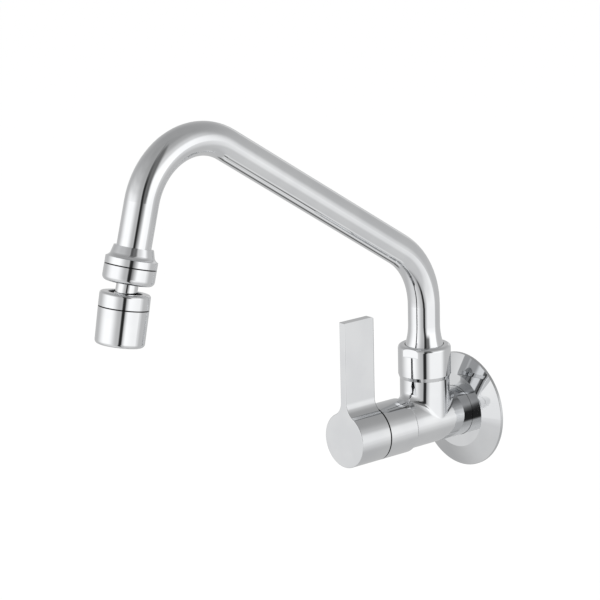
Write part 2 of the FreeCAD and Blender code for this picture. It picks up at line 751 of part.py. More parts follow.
foot = turned("spout_foot", NECK, {
    "bottom_inner": ("foot_bore_radius", "foot_bottom"),
    "bottom_outer": ("foot_spigot_radius", "foot_bottom"),
    "collar_root": ("foot_spigot_radius", "foot_collar_bottom"),
    "collar_low": ("foot_collar_radius", "foot_collar_bottom"),
    "collar_high": ("foot_collar_radius", "foot_collar_top"),
    "boss_root": ("foot_boss_radius", "foot_collar_top"),
    "boss_top": ("foot_boss_radius", "foot_collar_top + skirt_height"),
    "top_inner": ("foot_bore_radius", "foot_collar_top + skirt_height"),
})
foot_seals = []
for name, height in (("low", "foot_seal_low"), ("high", "foot_seal_high")):
    revolve(foot, f"{name}_seal_groove", {
        "floor_low": ("foot_seal_floor", f"{height} - foot_seal_section - seal_gap"),
        "mouth_low": ("neck_bore_radius", f"{height} - foot_seal_section - seal_gap"),
        "mouth_high": ("neck_bore_radius", f"{height} + foot_seal_section + seal_gap"),
        "floor_high": ("foot_seal_floor", f"{height} + foot_seal_section + seal_gap"),
    }, cut=True)
    foot_seals.append(torus(f"spout_seal_{name}", NECK, "foot_seal_ring", "foot_seal_section", height))
parts.append(foot)
parts.append(gathered("spout_o_rings", foot_seals))
parts.append(ring("lower_slip_ring", NECK, "neck_bore_radius + slip_gap", "foot_collar_radius",
                  "neck_top", "neck_top + slip_ring_thickness"))
parts.append(ring("upper_slip_ring", NECK, "flare_radius + slip_gap", "foot_collar_radius",
                  "upper_ring_bottom", "nut_under_lip"))


# Spout tube: one drawn tube, flared over the foot, bent twice in the plane x = 0.


def draw_route(sketch, leg_end):
    """Centre line of the spout in the plane of sketch x = +Y and y = +Z of the neck's frame."""
    rise_turn = math.radians(90 - value("spout_incline"))
    top_turn = math.radians(90 + value("spout_incline") - value("outlet_tilt"))
    incline = math.radians(value("spout_incline"))
    tilt = math.radians(value("outlet_tilt"))
    rise_vertex = FreeCAD.Vector(0, value("spout_rise"), 0)
    top_vertex = FreeCAD.Vector(-value("spout_reach"), value("top_corner_height"), 0)
    upward = FreeCAD.Vector(0, 1, 0)
    along = FreeCAD.Vector(-math.cos(incline), math.sin(incline), 0)
    down = FreeCAD.Vector(-math.sin(tilt), -math.cos(tilt), 0)
    rise_reach = value("rise_bend_radius") * math.tan(rise_turn / 2)
    top_reach = value("top_bend_radius") * math.tan(top_turn / 2)
    points = [FreeCAD.Vector(0, value("flare_top"), 0),
              rise_vertex - upward * rise_reach, rise_vertex + along * rise_reach,
              top_vertex - along * top_reach, top_vertex + down * top_reach,
              top_vertex + down * value(leg_end)]
    rise_side = FreeCAD.Vector(-value("rise_bend_radius"), points[1].y, 0)
    rise_mid = rise_side + (rise_vertex - rise_side).normalize() * value("rise_bend_radius")
    across = FreeCAD.Vector(-along.y, along.x, 0)
    top_side = points[3] - across * value("top_bend_radius") \
        if across.dot(down) < 0 else points[3] + across * value("top_bend_radius")
    top_mid = top_side + (top_vertex - top_side).normalize() * value("top_bend_radius")
    pieces = [Part.LineSegment(points[0], points[1]), Part.Arc(points[1], rise_mid, points[2]),
              Part.LineSegment(points[2], points[3]), Part.Arc(points[3], top_mid, points[4]),
              Part.LineSegment(points[4], points[5])]
    ends = []
    for piece, start in zip(pieces, points):
        added = sketch.addGeometry(piece, False)
        forward = (sketch.getPoint(added, 1) - start).Length < 1e-6
        ends.append((added, 1, 2) if forward else (added, 2, 1))
    for (one, _, finish), (two, start, _) in zip(ends, ends[1:]):
        sketch.addConstraint(Sketcher.Constraint("Tangent", one, finish, two, start))
    rise, first, slope, second, leg = (end[0] for end in ends)
    sketch.addConstraint(Sketcher.Constraint("PointOnObject", rise, 1, -2))
    sketch.addConstraint(Sketcher.Constraint("Vertical", rise))
    bind(sketch, "DistanceY", (-1, 1, rise, 1), "flare_top")
    bind(sketch, "Radius", (first,), "rise_bend_radius")
    bind(sketch, "Radius", (second,), "top_bend_radius")
    bind(sketch, "DistanceY", (-1, 1, rise, 2),
         "spout_rise - rise_bend_radius * tan(45 - spout_incline / 2)")
    top_length = "top_bend_radius * tan(45 + spout_incline / 2 - outlet_tilt / 2)"
    bind(sketch, "DistanceX", (-1, 1, slope, 2),
         f"-spout_reach + {top_length} * cos(spout_incline)")
    bind(sketch, "DistanceY", (-1, 1, slope, 2), f"top_corner_height - {top_length} * sin(spout_incline)")
    bind(sketch, "DistanceX", (-1, 1, leg, 2), f"-spout_reach - {leg_end} * sin(outlet_tilt)")
    bind(sketch, "DistanceY", (-1, 1, leg, 2), f"top_corner_height - {leg_end} * cos(outlet_tilt)")
    return sketch


tube = new_body("spout_tube", NECK)
revolve(tube, "foot_flare", {
    "skirt_inner": ("0", "skirt_bottom"),
    "skirt_outer": ("flare_radius", "skirt_bottom"),
    "flare_root": ("flare_radius", "skirt_top"),
    "flare_end": ("tube_radius", "flare_top"),
    "flare_centre": ("0", "flare_top"),
}, arcs={"flare_root": ("flare_arc_radius", 1)})
route = draw_route(sketch_on(tube, "YZ_Plane", "route"), "(tube_stop - seat_gap)")
for name, radius, kind in (("outside", "tube_radius", "PartDesign::AdditivePipe"),
                           ("inside", "tube_radius - tube_wall", "PartDesign::SubtractivePipe")):
    section = draw_circle(sketch_on(tube, "XY_Plane", f"{name}_circle", lift="flare_top"),
                          "0", "0", radius)
    doc.recompute()
    sweep = tube.newObject(kind, f"{name}_sweep")
    sweep.Profile = section
    sweep.Spine = route
    section.Visibility = False
    doc.recompute()
revolve(tube, "flare_inside", {
    "skirt_centre": ("0", "skirt_bottom"),
    "skirt_inner": ("flare_radius - tube_wall", "skirt_bottom"),
    "flare_root": ("flare_radius - tube_wall", "skirt_top"),
    "flare_end": ("tube_radius - tube_wall", "flare_top"),
    "flare_centre": ("0", "flare_top"),
}, arcs={"flare_root": ("flare_arc_radius", 1)}, cut=True)
route.Visibility = False
parts.append(tube)


# Outlet bell: turned sleeve soldered over the tube's end, coved out to the connector's width.

bell = turned("outlet_bell", OUTLET, {
    "mouth_inner": ("tube_radius + seal_gap", "bell_start"),
    "mouth_outer": ("bell_mouth_radius", "bell_start"),
    "cone_end": ("bell_cone_radius", "bell_start + bell_cone_length"),
    "shoulder": ("outlet_radius", "bell_start + bell_cone_length + bell_cove_length"),
    "skirt_end": ("outlet_radius", "bell_end"),
    "spigot_root": ("spigot_radius", "bell_end"),
    "spigot_end": ("spigot_radius", "spigot_end"),
    "spigot_bore": ("spigot_bore_radius", "spigot_end"),
    "tube_stop_inner": ("spigot_bore_radius", "tube_stop"),
    "tube_stop": ("tube_radius + seal_gap", "tube_stop"),
}, arcs={"cone_end": ("bell_cove_radius", 1)})
round_off(bell, "bell_edge", circle_edges(bell, "outlet_radius", "bell_end"), "joint_line_round")
parts.append(bell)


# Connector: a nut on the bell that traps the flange of the ball stem on a washer.

connector = turned("connector_nut", OUTLET, {
    "start_inner": ("spigot_radius + thread_gap", "connector_start"),
    "start_outer": ("outlet_radius", "connector_start"),
    "end_outer": ("outlet_radius", "connector_end"),
    "end_inner": ("stem_radius + slip_gap", "connector_end"),
    "floor_inner": ("stem_radius + slip_gap", "connector_inside"),
    "floor_outer": ("spigot_radius + thread_gap", "connector_inside"),
})
round_off(connector, "connector_shoulder",
          circle_edges(connector, "outlet_radius", "connector_end"), "connector_round")
round_off(connector, "connector_edge",
          circle_edges(connector, "outlet_radius", "connector_start"), "joint_line_round")
parts.append(connector)
parts.append(ring("connector_washer", OUTLET, "washer_hole_radius", "stem_flange_radius",
                  "washer_start", "stem_flange_start"))

# Ball stem: flange, neck and ball turned in one, drilled through.

parts.append(turned("ball_stem", OUTLET, {
    "bore_start": ("stem_bore_radius", "stem_flange_start"),
    "flange_start": ("stem_flange_radius", "stem_flange_start"),
    "flange_end": ("stem_flange_radius", "connector_inside - seal_gap"),
    "neck_start": ("stem_radius", "connector_inside - seal_gap"),
    "ball_top": ("stem_radius", "stem_neck_end"),
    "ball_equator": ("ball_radius", "ball_along"),
    "ball_end": ("ball_flat_radius", "ball_along + ball_flat_drop"),
    "bore_end": ("stem_bore_radius", "ball_along + ball_flat_drop"),
}, arcs={"ball_top": ("ball_radius", -1), "ball_equator": ("ball_radius", -1)}))


# Ball joint: a slippery liner round the ball's middle and a seal ring under it.


def half_width(radius, height):
    """Radius of a ball's slice at that height, as an expression."""
    return f"sqrt({radius} * {radius} - {height} * {height})"


parts.append(turned("ball_liner", AERATOR, {
    "top_inner": (half_width("liner_bore_radius", "liner_above"), "-liner_above"),
    "top_outer": (half_width("liner_radius", "liner_above"), "-liner_above"),
    "middle_outer": ("liner_radius", "0"),
    "bottom_outer": (half_width("liner_radius", "liner_below"), "liner_below"),
    "bottom_inner": (half_width("liner_bore_radius", "liner_below"), "liner_below"),
    "middle_inner": ("liner_bore_radius", "0"),
}, arcs={"top_outer": ("liner_radius", -1), "middle_outer": ("liner_radius", -1),
         "bottom_inner": ("liner_bore_radius", 1), "middle_inner": ("liner_bore_radius", 1)}))

parts.append(torus("ball_seal", AERATOR, "ball_seal_radius", "ball_seal_section", "ball_seal_at"))


# Socket ring: upper ring of the aerator that wraps the liner and leaves the neck room to tilt.

socket = turned("socket_ring", AERATOR, {
    "throat": (half_width("liner_cavity_radius", "socket_throat"), "-socket_throat"),
    "opening": ("socket_opening_radius", "-socket_top"),
    "top_outer": ("socket_radius", "-socket_top"),
    "joint_outer": ("socket_radius", "socket_end"),
    "joint_inner": ("socket_spigot_radius", "socket_end"),
    "spigot_end": ("socket_spigot_radius", "socket_spigot_end"),
    "cavity_end": ("liner_cavity_radius", "socket_spigot_end"),
    "cavity_middle": ("liner_cavity_radius", "0"),
}, arcs={"cavity_middle": ("liner_cavity_radius", 1)})
round_off(socket, "socket_shoulder", circle_edges(socket, "socket_radius", "-socket_top"),
          "socket_round")
round_off(socket, "socket_edge", circle_edges(socket, "socket_radius", "socket_end"),
          "joint_line_round")
parts.append(socket)


# Seal carrier: ring that clamps under the socket ring and holds the ball seal up.

parts.append(turned("seal_carrier", AERATOR, {
    "bore_end": ("carrier_bore_radius", "carrier_end"),
    "bore_start": ("carrier_bore_radius", "carrier_seal_floor + carrier_wall / 2"),
    "ledge": ("carrier_ledge_radius", "carrier_seal_floor + carrier_wall / 2"),
    "seal_floor_inner": ("carrier_ledge_radius", "carrier_seal_floor"),
    "seal_floor_outer": ("carrier_seal_wall", "carrier_seal_floor"),
    "wall_top_inner": ("carrier_seal_wall", "carrier_top"),
    "wall_top_outer": ("carrier_seal_wall + carrier_wall", "carrier_top"),
    "shoulder_inner": ("carrier_seal_wall + carrier_wall", "carrier_shoulder"),
    "shoulder_outer": ("socket_spigot_radius", "carrier_shoulder"),
    "end_outer": ("socket_spigot_radius", "carrier_end"),
}))


# Aerator shell: chromed barrel screwed on the socket ring, with an inward lip at its mouth.

shell = turned("aerator_shell", AERATOR, {
    "start_inner": ("shell_bore_radius", "shell_start"),
    "start_outer": ("socket_radius", "shell_start"),
    "end_outer": ("shell_end_radius", "shell_end"),
    "lip_edge": ("shell_lip_radius", "shell_end"),
    "lip_inside": ("shell_lip_radius", "shell_lip_inside"),
    "bore_end": ("shell_bore_radius", "shell_lip_inside"),
})
round_off(shell, "shell_mouth", circle_edges(shell, "shell_end_radius", "shell_end"), "shell_round")
round_off(shell, "shell_edge", circle_edges(shell, "socket_radius", "shell_start"),
          "joint_line_round")
parts.append(shell)


# Inside the barrel: washer, domed strainer, insert with the honeycomb outlet, jets and screens.

parts.append(ring("aerator_washer", AERATOR, "aerator_washer_hole_radius", "insert_radius",
                  "carrier_end", "aerator_washer_end"))
insert = turned("aerator_insert", AERATOR, {
    "rim_inner": ("strainer_radius + slip_gap", "aerator_washer_end"),
    "rim_outer": ("insert_radius", "aerator_washer_end"),
    "shoulder": ("insert_radius", "insert_shoulder"),
    "foot_root": ("insert_foot_radius", "insert_shoulder"),
    "foot_end": ("insert_foot_radius", "insert_end"),
    "grid_centre": ("0", "insert_end"),
    "grid_inside": ("0", "grid_start"),
    "cup_floor": ("insert_bore_radius", "grid_start"),
    "cup_top": ("insert_bore_radius", "aerator_washer_end + insert_flange"),
    "rim_step": ("strainer_radius + slip_gap", "aerator_washer_end + insert_flange"),
})
SIXTHS = 6


def draw_hexagon(sketch, x, y, corner):
    points = {}
    for step in range(SIXTHS):
        points[f"corner_{step}"] = (f"{x} + {corner} * cos({60 * step + 30})",
                                    f"{y} + {corner} * sin({60 * step + 30})")
    return draw_outline(sketch, points)


# Honeycomb: one cell on the axis and one sixth of the others, repeated round it.
centre_cell = draw_hexagon(sketch_on(insert, "XY_Plane", "centre_cell", lift="grid_start"),
                           "0", "0", "grid_cell_corner")
pocket(insert, "centre_hole", centre_cell, "grid_thickness + seat_gap", reverse=True)
sector = sketch_on(insert, "XY_Plane", "sector_cells", lift="grid_start")
reach = value("(insert_bore_radius - grid_cell / 2) / grid_pitch")
for outward in range(1, int(reach) + 1):
    for aslant in range(int(reach) + 1):
        if outward ** 2 + outward * aslant + aslant ** 2 < reach ** 2:
            draw_hexagon(sector, f"grid_pitch * ({outward} + {aslant} / 2)",
                         f"grid_pitch * {aslant} * sqrt(3) / 2", "grid_cell_corner")
sector_cut = pocket(insert, "sector_holes", sector, "grid_thickness + seat_gap", reverse=True)
pattern(insert, "honeycomb", [sector_cut], SIXTHS)
parts.append(insert)

parts.append(turned("inlet_strainer", AERATOR, {
    "edge_lower": ("strainer_radius", "strainer_edge"),
    "crown_lower": ("0", "strainer_edge - strainer_rise"),
    "crown_upper": ("0", "strainer_edge - strainer_rise - mesh_thickness"),
    "edge_upper": ("strainer_radius", "strainer_edge - mesh_thickness"),
}, arcs={"edge_lower": ("strainer_dome_radius", 1), "crown_upper": ("strainer_dome_radius", -1)}))

jet_plate = turned("jet_plate", AERATOR, {
    "start_centre": ("0", "jet_start"),
    "start_edge": ("insert_bore_radius - seal_gap", "jet_start"),
    "end_edge": ("insert_bore_radius - seal_gap", "jet_start + jet_plate_thickness"),
    "end_centre": ("0", "jet_start + jet_plate_thickness"),
})
jet = draw_circle(sketch_on(jet_plate, "XY_Plane", "jet_circle", lift="jet_start"),
                  "jet_circle_radius", "0", "jet_radius")
jet_cut = pocket(jet_plate, "jet", jet, "jet_plate_thickness + seat_gap", reverse=True)
pattern(jet_plate, "jets", [jet_cut], 12)
parts.append(jet_plate)

screens = []
for number in (1, 2):
    level = f"(grid_start - seal_gap - {number} * screen_spacing)"
    screen = doc.addObject("Part::Cylinder", f"screen_{number}")
    screen.setExpression("Radius", cells("insert_bore_radius - seal_gap"))
    screen.setExpression("Height", cells("mesh_thickness"))
    lift = f"create(<<placement>>; create(<<vector>>; 0; 0; {level}); " \
           "create(<<rotation>>; create(<<vector>>; 0; 0; 1); 0))"
    screen.setExpression("Placement", cells(f"{AERATOR} * {lift}"))
    screens.append(screen)
parts.append(gathered("outlet_screens", screens))


# Cartridge, from the seat outwards: rubber seat seal, fixed disc, moving disc, spindle, housing.

parts.append(ring("seat_seal", WALL, "inlet_bore_radius", "seat_seal_radius", "seat_face", "seat_seal_end"))


def ceramic_disc(label, start, across):
    """A lapped disc with two opposite ports, on the local X axis or across it."""
    disc = turned(label, WALL, {
        "start_centre": ("0", start),
        "start_edge": ("disc_radius", start),
        "end_edge": ("disc_radius", f"{start} + disc_thickness"),
        "end_centre": ("0", f"{start} + disc_thickness"),
    })
    sketch = sketch_on(disc, "XY_Plane", "port_outline", lift=start)
    inner = ("port_inner_radius", "port_inner_width / 2")
    outer = ("port_outer_radius", "port_outer_width / 2")
    corners = [inner, (inner[0], f"-{inner[1]}"), (outer[0], f"-{outer[1]}"), outer]
    if across:
        corners = [(y, x) for x, y in corners]
    draw_outline(sketch, {f"corner_{index}": corner for index, corner in enumerate(corners)})
    port = pocket(disc, "port", sketch, "disc_thickness + seat_gap", reverse=True)
    pattern(disc, "ports", [port], 2)
    return disc


parts.append(ceramic_disc("fixed_disc", "seat_seal_end", across=True))
moving_disc = ceramic_disc("moving_disc", "moving_disc_start", across=False)
slot = draw_outline(sketch_on(moving_disc, "XY_Plane", "slot_outline",
                              lift="moving_disc_end - tongue_depth - seal_gap"), {
    "left_low": ("-tongue_width / 2 - seal_gap", "-disc_radius"),
    "right_low": ("tongue_width / 2 + seal_gap", "-disc_radius"),
    "right_high": ("tongue_width / 2 + seal_gap", "disc_radius"),
    "left_high": ("-tongue_width / 2 - seal_gap", "disc_radius"),
})
pocket(moving_disc, "tongue_slot", slot, "tongue_depth + seat_gap", reverse=True)
parts.append(moving_disc)

housing = turned("cartridge_housing", WALL, {
    "rear_inner": ("disc_bore_radius", "seat_seal_end + seat_gap"),
    "rear_outer": ("housing_radius", "seat_seal_end + seat_gap"),
    "thread_start": ("housing_radius", "chamber_end"),
    "thread_root": ("cartridge_thread_radius", "chamber_end"),
    "thread_end": ("cartridge_thread_radius", "body_length - seal_recess_depth"),
    "seal_neck": ("housing_seal_neck", "body_length - seal_recess_depth"),
    "under_hex": ("housing_seal_neck", "hex_start"),
    "under_collar": ("collar_radius", "hex_start"),
    "collar_end": ("collar_radius", "housing_end"),
    "bearing_end": ("stem_turned_radius + running_fit", "housing_end"),
    "bearing_start": ("stem_turned_radius + running_fit", "barrel_end + seat_gap"),
    "barrel_bore_end": ("barrel_radius + running_fit", "barrel_end + seat_gap"),
    "barrel_bore_start": ("barrel_radius + running_fit", "thrust_face"),
    "foot_bore": ("disc_bore_radius", "thrust_face"),
})
hexagon = draw_hexagon(sketch_on(housing, "XY_Plane", "hexagon", lift="hex_start"),
                       "0", "0", "hex_across_flats / sqrt(3)")
draw_circle(hexagon, "0", "0", "barrel_radius + running_fit + insert_wall")
pad(housing, "hexagon_pad", hexagon, "hex_height")
window = draw_outline(sketch_on(housing, "XZ_Plane", "window_outline"), {
    "left_rear": ("-window_width / 2", "fixed_disc_end - disc_film"),
    "right_rear": ("window_width / 2", "fixed_disc_end - disc_film"),
    "right_front": ("window_width / 2", "fixed_disc_end - disc_film + window_length / 2"),
    "left_front": ("-window_width / 2", "fixed_disc_end - disc_film + window_length / 2"),
})
before = housing.Shape.Volume
windows = housing.newObject("PartDesign::Pocket", "windows")
windows.Profile = window
windows.Midplane = True
windows.setExpression("Length", cells("4 * housing_radius"))
window.Visibility = False
doc.recompute()
if housing.Shape.Volume > before - 1e-6:
    raise RuntimeError("the windows cut nothing")
parts.append(housing)
parts.append(torus("housing_o_ring", WALL, "housing_seal_ring",
                   "housing_seal_section", "housing_seal_at"))


spindle = turned("spindle", WALL, {
    "foot_centre": ("0", "spindle_start"),
    "foot_edge": ("spindle_foot_radius", "spindle_start"),
    "foot_end": ("spindle_foot_radius", "spindle_foot_end"),
    "barrel_start": ("barrel_radius", "spindle_foot_end"),
    "barrel_end": ("barrel_radius", "barrel_end"),
    "stem_start": ("stem_turned_radius", "barrel_end"),
    "stem_end": ("stem_turned_radius", "spindle_end"),
    "end_centre": ("0", "spindle_end"),
})
tongue = draw_outline(sketch_on(spindle, "XY_Plane", "tongue_outline", lift="spindle_start"), {
    "left_low": ("-tongue_width / 2", "-tongue_length / 2"),
    "right_low": ("tongue_width / 2", "-tongue_length / 2"),
    "right_high": ("tongue_width / 2", "tongue_length / 2"),
    "left_high": ("-tongue_width / 2", "tongue_length / 2"),
})
pad(spindle, "tongue", tongue, "tongue_depth", reverse=True)
spindle_seals = []
for name, station in (("first", "spindle_seal_first"), ("second", "spindle_seal_second")):
    revolve(spindle, f"{name}_seal_groove", {
        "floor_rear": ("spindle_seal_floor", f"{station} - spindle_seal_section - seal_gap"),
        "mouth_rear": ("barrel_radius + seat_gap", f"{station} - spindle_seal_section - seal_gap"),
        "mouth_front": ("barrel_radius + seat_gap", f"{station} + spindle_seal_section + seal_gap"),
        "floor_front": ("spindle_seal_floor", f"{station} + spindle_seal_section + seal_gap"),
    }, cut=True)
    spindle_seals.append(torus(f"spindle_seal_{name}", WALL, "spindle_seal_ring",
                               "spindle_seal_section", station))
revolve(spindle, "circlip_groove", {
    "floor_rear": ("circlip_floor", "circlip_start - seal_gap"),
    "mouth_rear": ("stem_turned_radius + seat_gap", "circlip_start - seal_gap"),
    "mouth_front": ("stem_turned_radius + seat_gap",
                    "circlip_start + circlip_thickness + seal_gap"),
    "floor_front": ("circlip_floor", "circlip_start + circlip_thickness + seal_gap"),
}, cut=True)
tooth = draw_outline(sketch_on(spindle, "XY_Plane", "tooth_gap", lift="spindle_end - spline_length"), {
    "root": ("stem_turned_radius - spline_depth", "0"),
    "left": ("stem_turned_radius + seat_gap", "-spline_depth - seat_gap"),
    "right": ("stem_turned_radius + seat_gap", "spline_depth + seat_gap"),
})
tooth_cut = pocket(spindle, "spline_gap", tooth, "spline_length + seat_gap", reverse=True)
pattern(spindle, "splines", [tooth_cut], 20)
parts.append(spindle)
parts.append(gathered("spindle_o_rings", spindle_seals))
parts.append(ring("thrust_washer", WALL, "barrel_radius + running_fit", "spindle_foot_radius",
                  "spindle_foot_end + seal_gap", "spindle_foot_end + thrust_washer_thickness"))

circlip = ring("spindle_circlip", WALL, "circlip_floor + seal_gap", "circlip_radius",
               "circlip_start", "circlip_start + circlip_thickness")
mouth = draw_outline(sketch_on(circlip, "XY_Plane", "mouth_outline", lift="circlip_start"), {
    "left_low": ("-circlip_gap_width / 2", "-circlip_radius - seat_gap"),
    "right_low": ("circlip_gap_width / 2", "-circlip_radius - seat_gap"),
    "right_high": ("circlip_gap_width / 2", "0"),
    "left_high": ("-circlip_gap_width / 2", "0"),
})
pocket(circlip, "mouth", mouth, "circlip_thickness + seat_gap", reverse=True)
parts.append(circlip)


# Trim sleeve: hides the cartridge hexagon between the body's step and the lever.
sleeve = turned("cartridge_sleeve", WALL, {
    "rear_inner": ("sleeve_radius - sleeve_wall", "sleeve_start + seat_gap"),
    "rear_outer": ("sleeve_radius", "sleeve_start + seat_gap"),
    "front_outer": ("sleeve_radius", "sleeve_end"),
    "front_hole": ("collar_radius + slip_gap", "sleeve_end"),
    "wall_hole": ("collar_radius + slip_gap", "sleeve_end - sleeve_front_wall"),
    "wall_inner": ("sleeve_radius - sleeve_wall", "sleeve_end - sleeve_front_wall"),
})
round_off(sleeve, "sleeve_rear_round",
          circle_edges(sleeve, "sleeve_radius", "sleeve_start + seat_gap"), "sleeve_round")
round_off(sleeve, "sleeve_front_round", circle_edges(sleeve, "sleeve_radius", "sleeve_end"),
          "joint_line_round")
parts.append(sleeve)


# Lever: a hollow cylinder and an upright blade cast in one, its outline seen from the front
# a circle that runs into the blade through two large concave fillets.


lever = new_body("lever_handle", WALL)
lever_outline = draw_outline(sketch_on(lever, "XY_Plane", "lever_outline", lift="lever_rear"), {
    "bottom": ("0", "-lever_radius"),
    "fillet_right": ("fillet_across * fillet_touch", "fillet_height * fillet_touch"),
    "blade_right": ("half_blade", "fillet_height"),
    "top_right": ("half_blade", "blade_top"),
    "top_left": ("-half_blade", "blade_top"),
    "blade_left": ("-half_blade", "fillet_height"),
    "fillet_left": ("-fillet_across * fillet_touch", "fillet_height * fillet_touch"),
}, arcs={"bottom": ("lever_radius", -1), "fillet_right": ("blade_fillet", 1),
         "blade_left": ("blade_fillet", 1), "fillet_left": ("lever_radius", -1)})
pad(lever, "lever_casting", lever_outline, "lever_front - lever_rear")
rear_corner = [f"Edge{number}" for number, edge in enumerate(lever.Tip.Shape.Edges, 1)
               if abs(edge.BoundBox.ZMax - value("lever_rear")) < 1e-6
               and edge.BoundBox.YMin > value("blade_top") - 1e-6]
round_off(lever, "blade_corner", rear_corner, "blade_corner_round")
outer_edges = [f"Edge{number}" for number, edge in enumerate(lever.Tip.Shape.Edges, 1)
               if abs(edge.BoundBox.ZMin - value("lever_front")) < 1e-6]
round_off(lever, "lever_edges", outer_edges, "lever_edge_round")
cavity = draw_circle(sketch_on(lever, "XY_Plane", "cavity_circle", lift="lever_rear"),
                     "0", "0", "lever_cavity_radius")
pocket(lever, "cavity", cavity, "lever_cavity_floor - lever_rear", reverse=True)
boss = draw_circle(sketch_on(lever, "XY_Plane", "boss_circle", lift="boss_start"),
                   "0", "0", "boss_radius")
pad(lever, "boss", boss, "lever_cavity_floor - boss_start")
rib = draw_outline(sketch_on(lever, "XY_Plane", "rib_outline", lift="boss_start"), {
    "left_low": ("-rib_width / 2", "-lever_cavity_radius"),
    "right_low": ("rib_width / 2", "-lever_cavity_radius"),
    "right_high": ("rib_width / 2", "-stem_turned_radius"),
    "left_high": ("-rib_width / 2", "-stem_turned_radius"),
})
pad(lever, "rib", rib, "lever_cavity_floor - boss_start")
bore = draw_circle(sketch_on(lever, "XY_Plane", "bore_circle", lift="boss_start"),
                   "0", "0", "spline_bore_radius")
pocket(lever, "spline_bore", bore, "spindle_end + seat_gap - boss_start", reverse=True)
tapped = draw_circle(sketch_on(lever, "XZ_Plane", "grub_circle"), "0", "grub_at",
                     "grub_radius + thread_gap")
pocket(lever, "grub_hole", tapped, "lever_radius + seat_gap", reverse=True)
recess = draw_circle(sketch_on(lever, "XZ_Plane", "plug_circle", lift="lever_radius - plug_depth"),
                     "0", "grub_at", "plug_radius + seal_gap")
pocket(lever, "plug_recess", recess, "plug_depth + seat_gap", reverse=True)
parts.append(lever)

# Grub screw in the rib, its point just short of the spindle, and the plug that closes its hole.
RADIAL = frame("-grub_at", "0", "180")

grub = turned("grub_screw", RADIAL, {
    "tip_centre": ("0", "grub_tip"),
    "tip_edge": ("grub_radius - grub_point", "grub_tip"),
    "point_root": ("grub_radius", "grub_tip + grub_point"),
    "end_edge": ("grub_radius", "grub_end"),
    "end_centre": ("0", "grub_end"),
})
socket_hole = draw_hexagon(sketch_on(grub, "XY_Plane", "hex_socket",
                                     lift="grub_end - hex_socket_depth"),
                           "0", "0", "hex_socket_width / sqrt(3)")
pocket(grub, "hex_recess", socket_hole, "hex_socket_depth + seat_gap", reverse=True)
parts.append(grub)

parts.append(turned("grub_plug", RADIAL, {
    "floor_centre": ("0", "lever_radius - plug_depth + seal_gap"),
    "floor_edge": ("plug_radius", "lever_radius - plug_depth + seal_gap"),
    "crown_edge": ("plug_radius", "lever_radius - plug_edge"),
    "crown_centre": ("0", "plug_top"),
}, arcs={"crown_edge": ("plug_crown_radius", -1)}))


# Every piece has to be one or more sound solids before its file is written.
doc.recompute()
for item in doc.Objects:
    if "Invalid" in item.State or "Error" in item.State:
        raise RuntimeError(f"{item.Label} failed: {item.State}")
os.makedirs("parts", exist_ok=True)
for piece in parts:
    shape = piece.Shape
    if shape.isNull() or not shape.isValid() or not shape.Solids:
        raise RuntimeError(f"{piece.Label} has no sound shape")
    shape.exportStep(f"parts/{piece.Label}.step")
    print(f"{piece.Label}: {len(shape.Solids)} solid, {shape.Volume:.1f} mm3")
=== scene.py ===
"""Looks of a wall-mounted sink faucet in polished chrome, in a white light tent."""

import json
import math

import bmesh
import bpy
from mathutils import Matrix, Vector


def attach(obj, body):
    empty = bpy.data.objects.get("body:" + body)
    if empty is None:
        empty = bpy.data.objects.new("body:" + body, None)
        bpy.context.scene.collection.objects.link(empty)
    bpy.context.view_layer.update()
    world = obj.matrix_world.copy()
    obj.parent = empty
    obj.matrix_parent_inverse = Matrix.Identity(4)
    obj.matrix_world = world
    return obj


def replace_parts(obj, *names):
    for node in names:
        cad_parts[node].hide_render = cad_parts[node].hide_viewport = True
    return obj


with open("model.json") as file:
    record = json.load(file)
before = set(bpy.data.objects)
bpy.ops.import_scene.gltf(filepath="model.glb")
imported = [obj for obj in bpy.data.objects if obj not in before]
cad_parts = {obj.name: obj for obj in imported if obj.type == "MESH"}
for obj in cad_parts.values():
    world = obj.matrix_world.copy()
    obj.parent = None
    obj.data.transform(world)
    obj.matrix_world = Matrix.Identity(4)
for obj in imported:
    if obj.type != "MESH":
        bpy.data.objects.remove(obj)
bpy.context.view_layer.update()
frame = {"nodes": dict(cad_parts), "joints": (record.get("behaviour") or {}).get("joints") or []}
nodes = frame["nodes"]


# Light tent: white cloth walls with two long softboxes, and a black flag that draws the dark
# line down every round chrome part. It is the world seen by glossy rays, as levels by degrees:
# azimuth 0 looks away from the wall, 90 looks to the right, elevation is over the horizon.
WALL_LOW, WALL_HIGH = 0.56, 0.38
WALL_CLIMB = (-5, 60)
KEY_SPAN = (-78, -25, -4, 36)
KEY_BY_ELEVATION = ((-90, 0.72), (-35, 0.82), (-23, 0.88), (-14, 1.16), (10, 1.20),
                    (25, 0.76), (36, 0.58), (50, 0.46), (70, 0.36))
FILL_SPAN = (57, 75, 120, 150)
FILL_BY_ELEVATION = ((-90, 0.62), (-40, 0.66), (-25, 0.90), (-14, 1.06), (-4, 1.20), (12, 1.18),
                     (25, 0.76), (50, 0.46), (70, 0.36))
SHOULDER_SPAN, SHOULDER_CLIMB = (52, 60, 76, 90), (-6, 6, 60, 80)
SHOULDER_LEVEL = 0.17
FLAG_LOW, FLAG_HIGH = (-32, 45), (6, 53)
FLAG_HALF_WIDTH = (4.0, 10.5)
FLAG_BY_ELEVATION = ((-90, 0.50), (-60, 0.38), (-48, 0.12), (-34, 0.03), (-12, 0.025), (20, 0.03),
                     (40, 0.12), (70, 0.28))
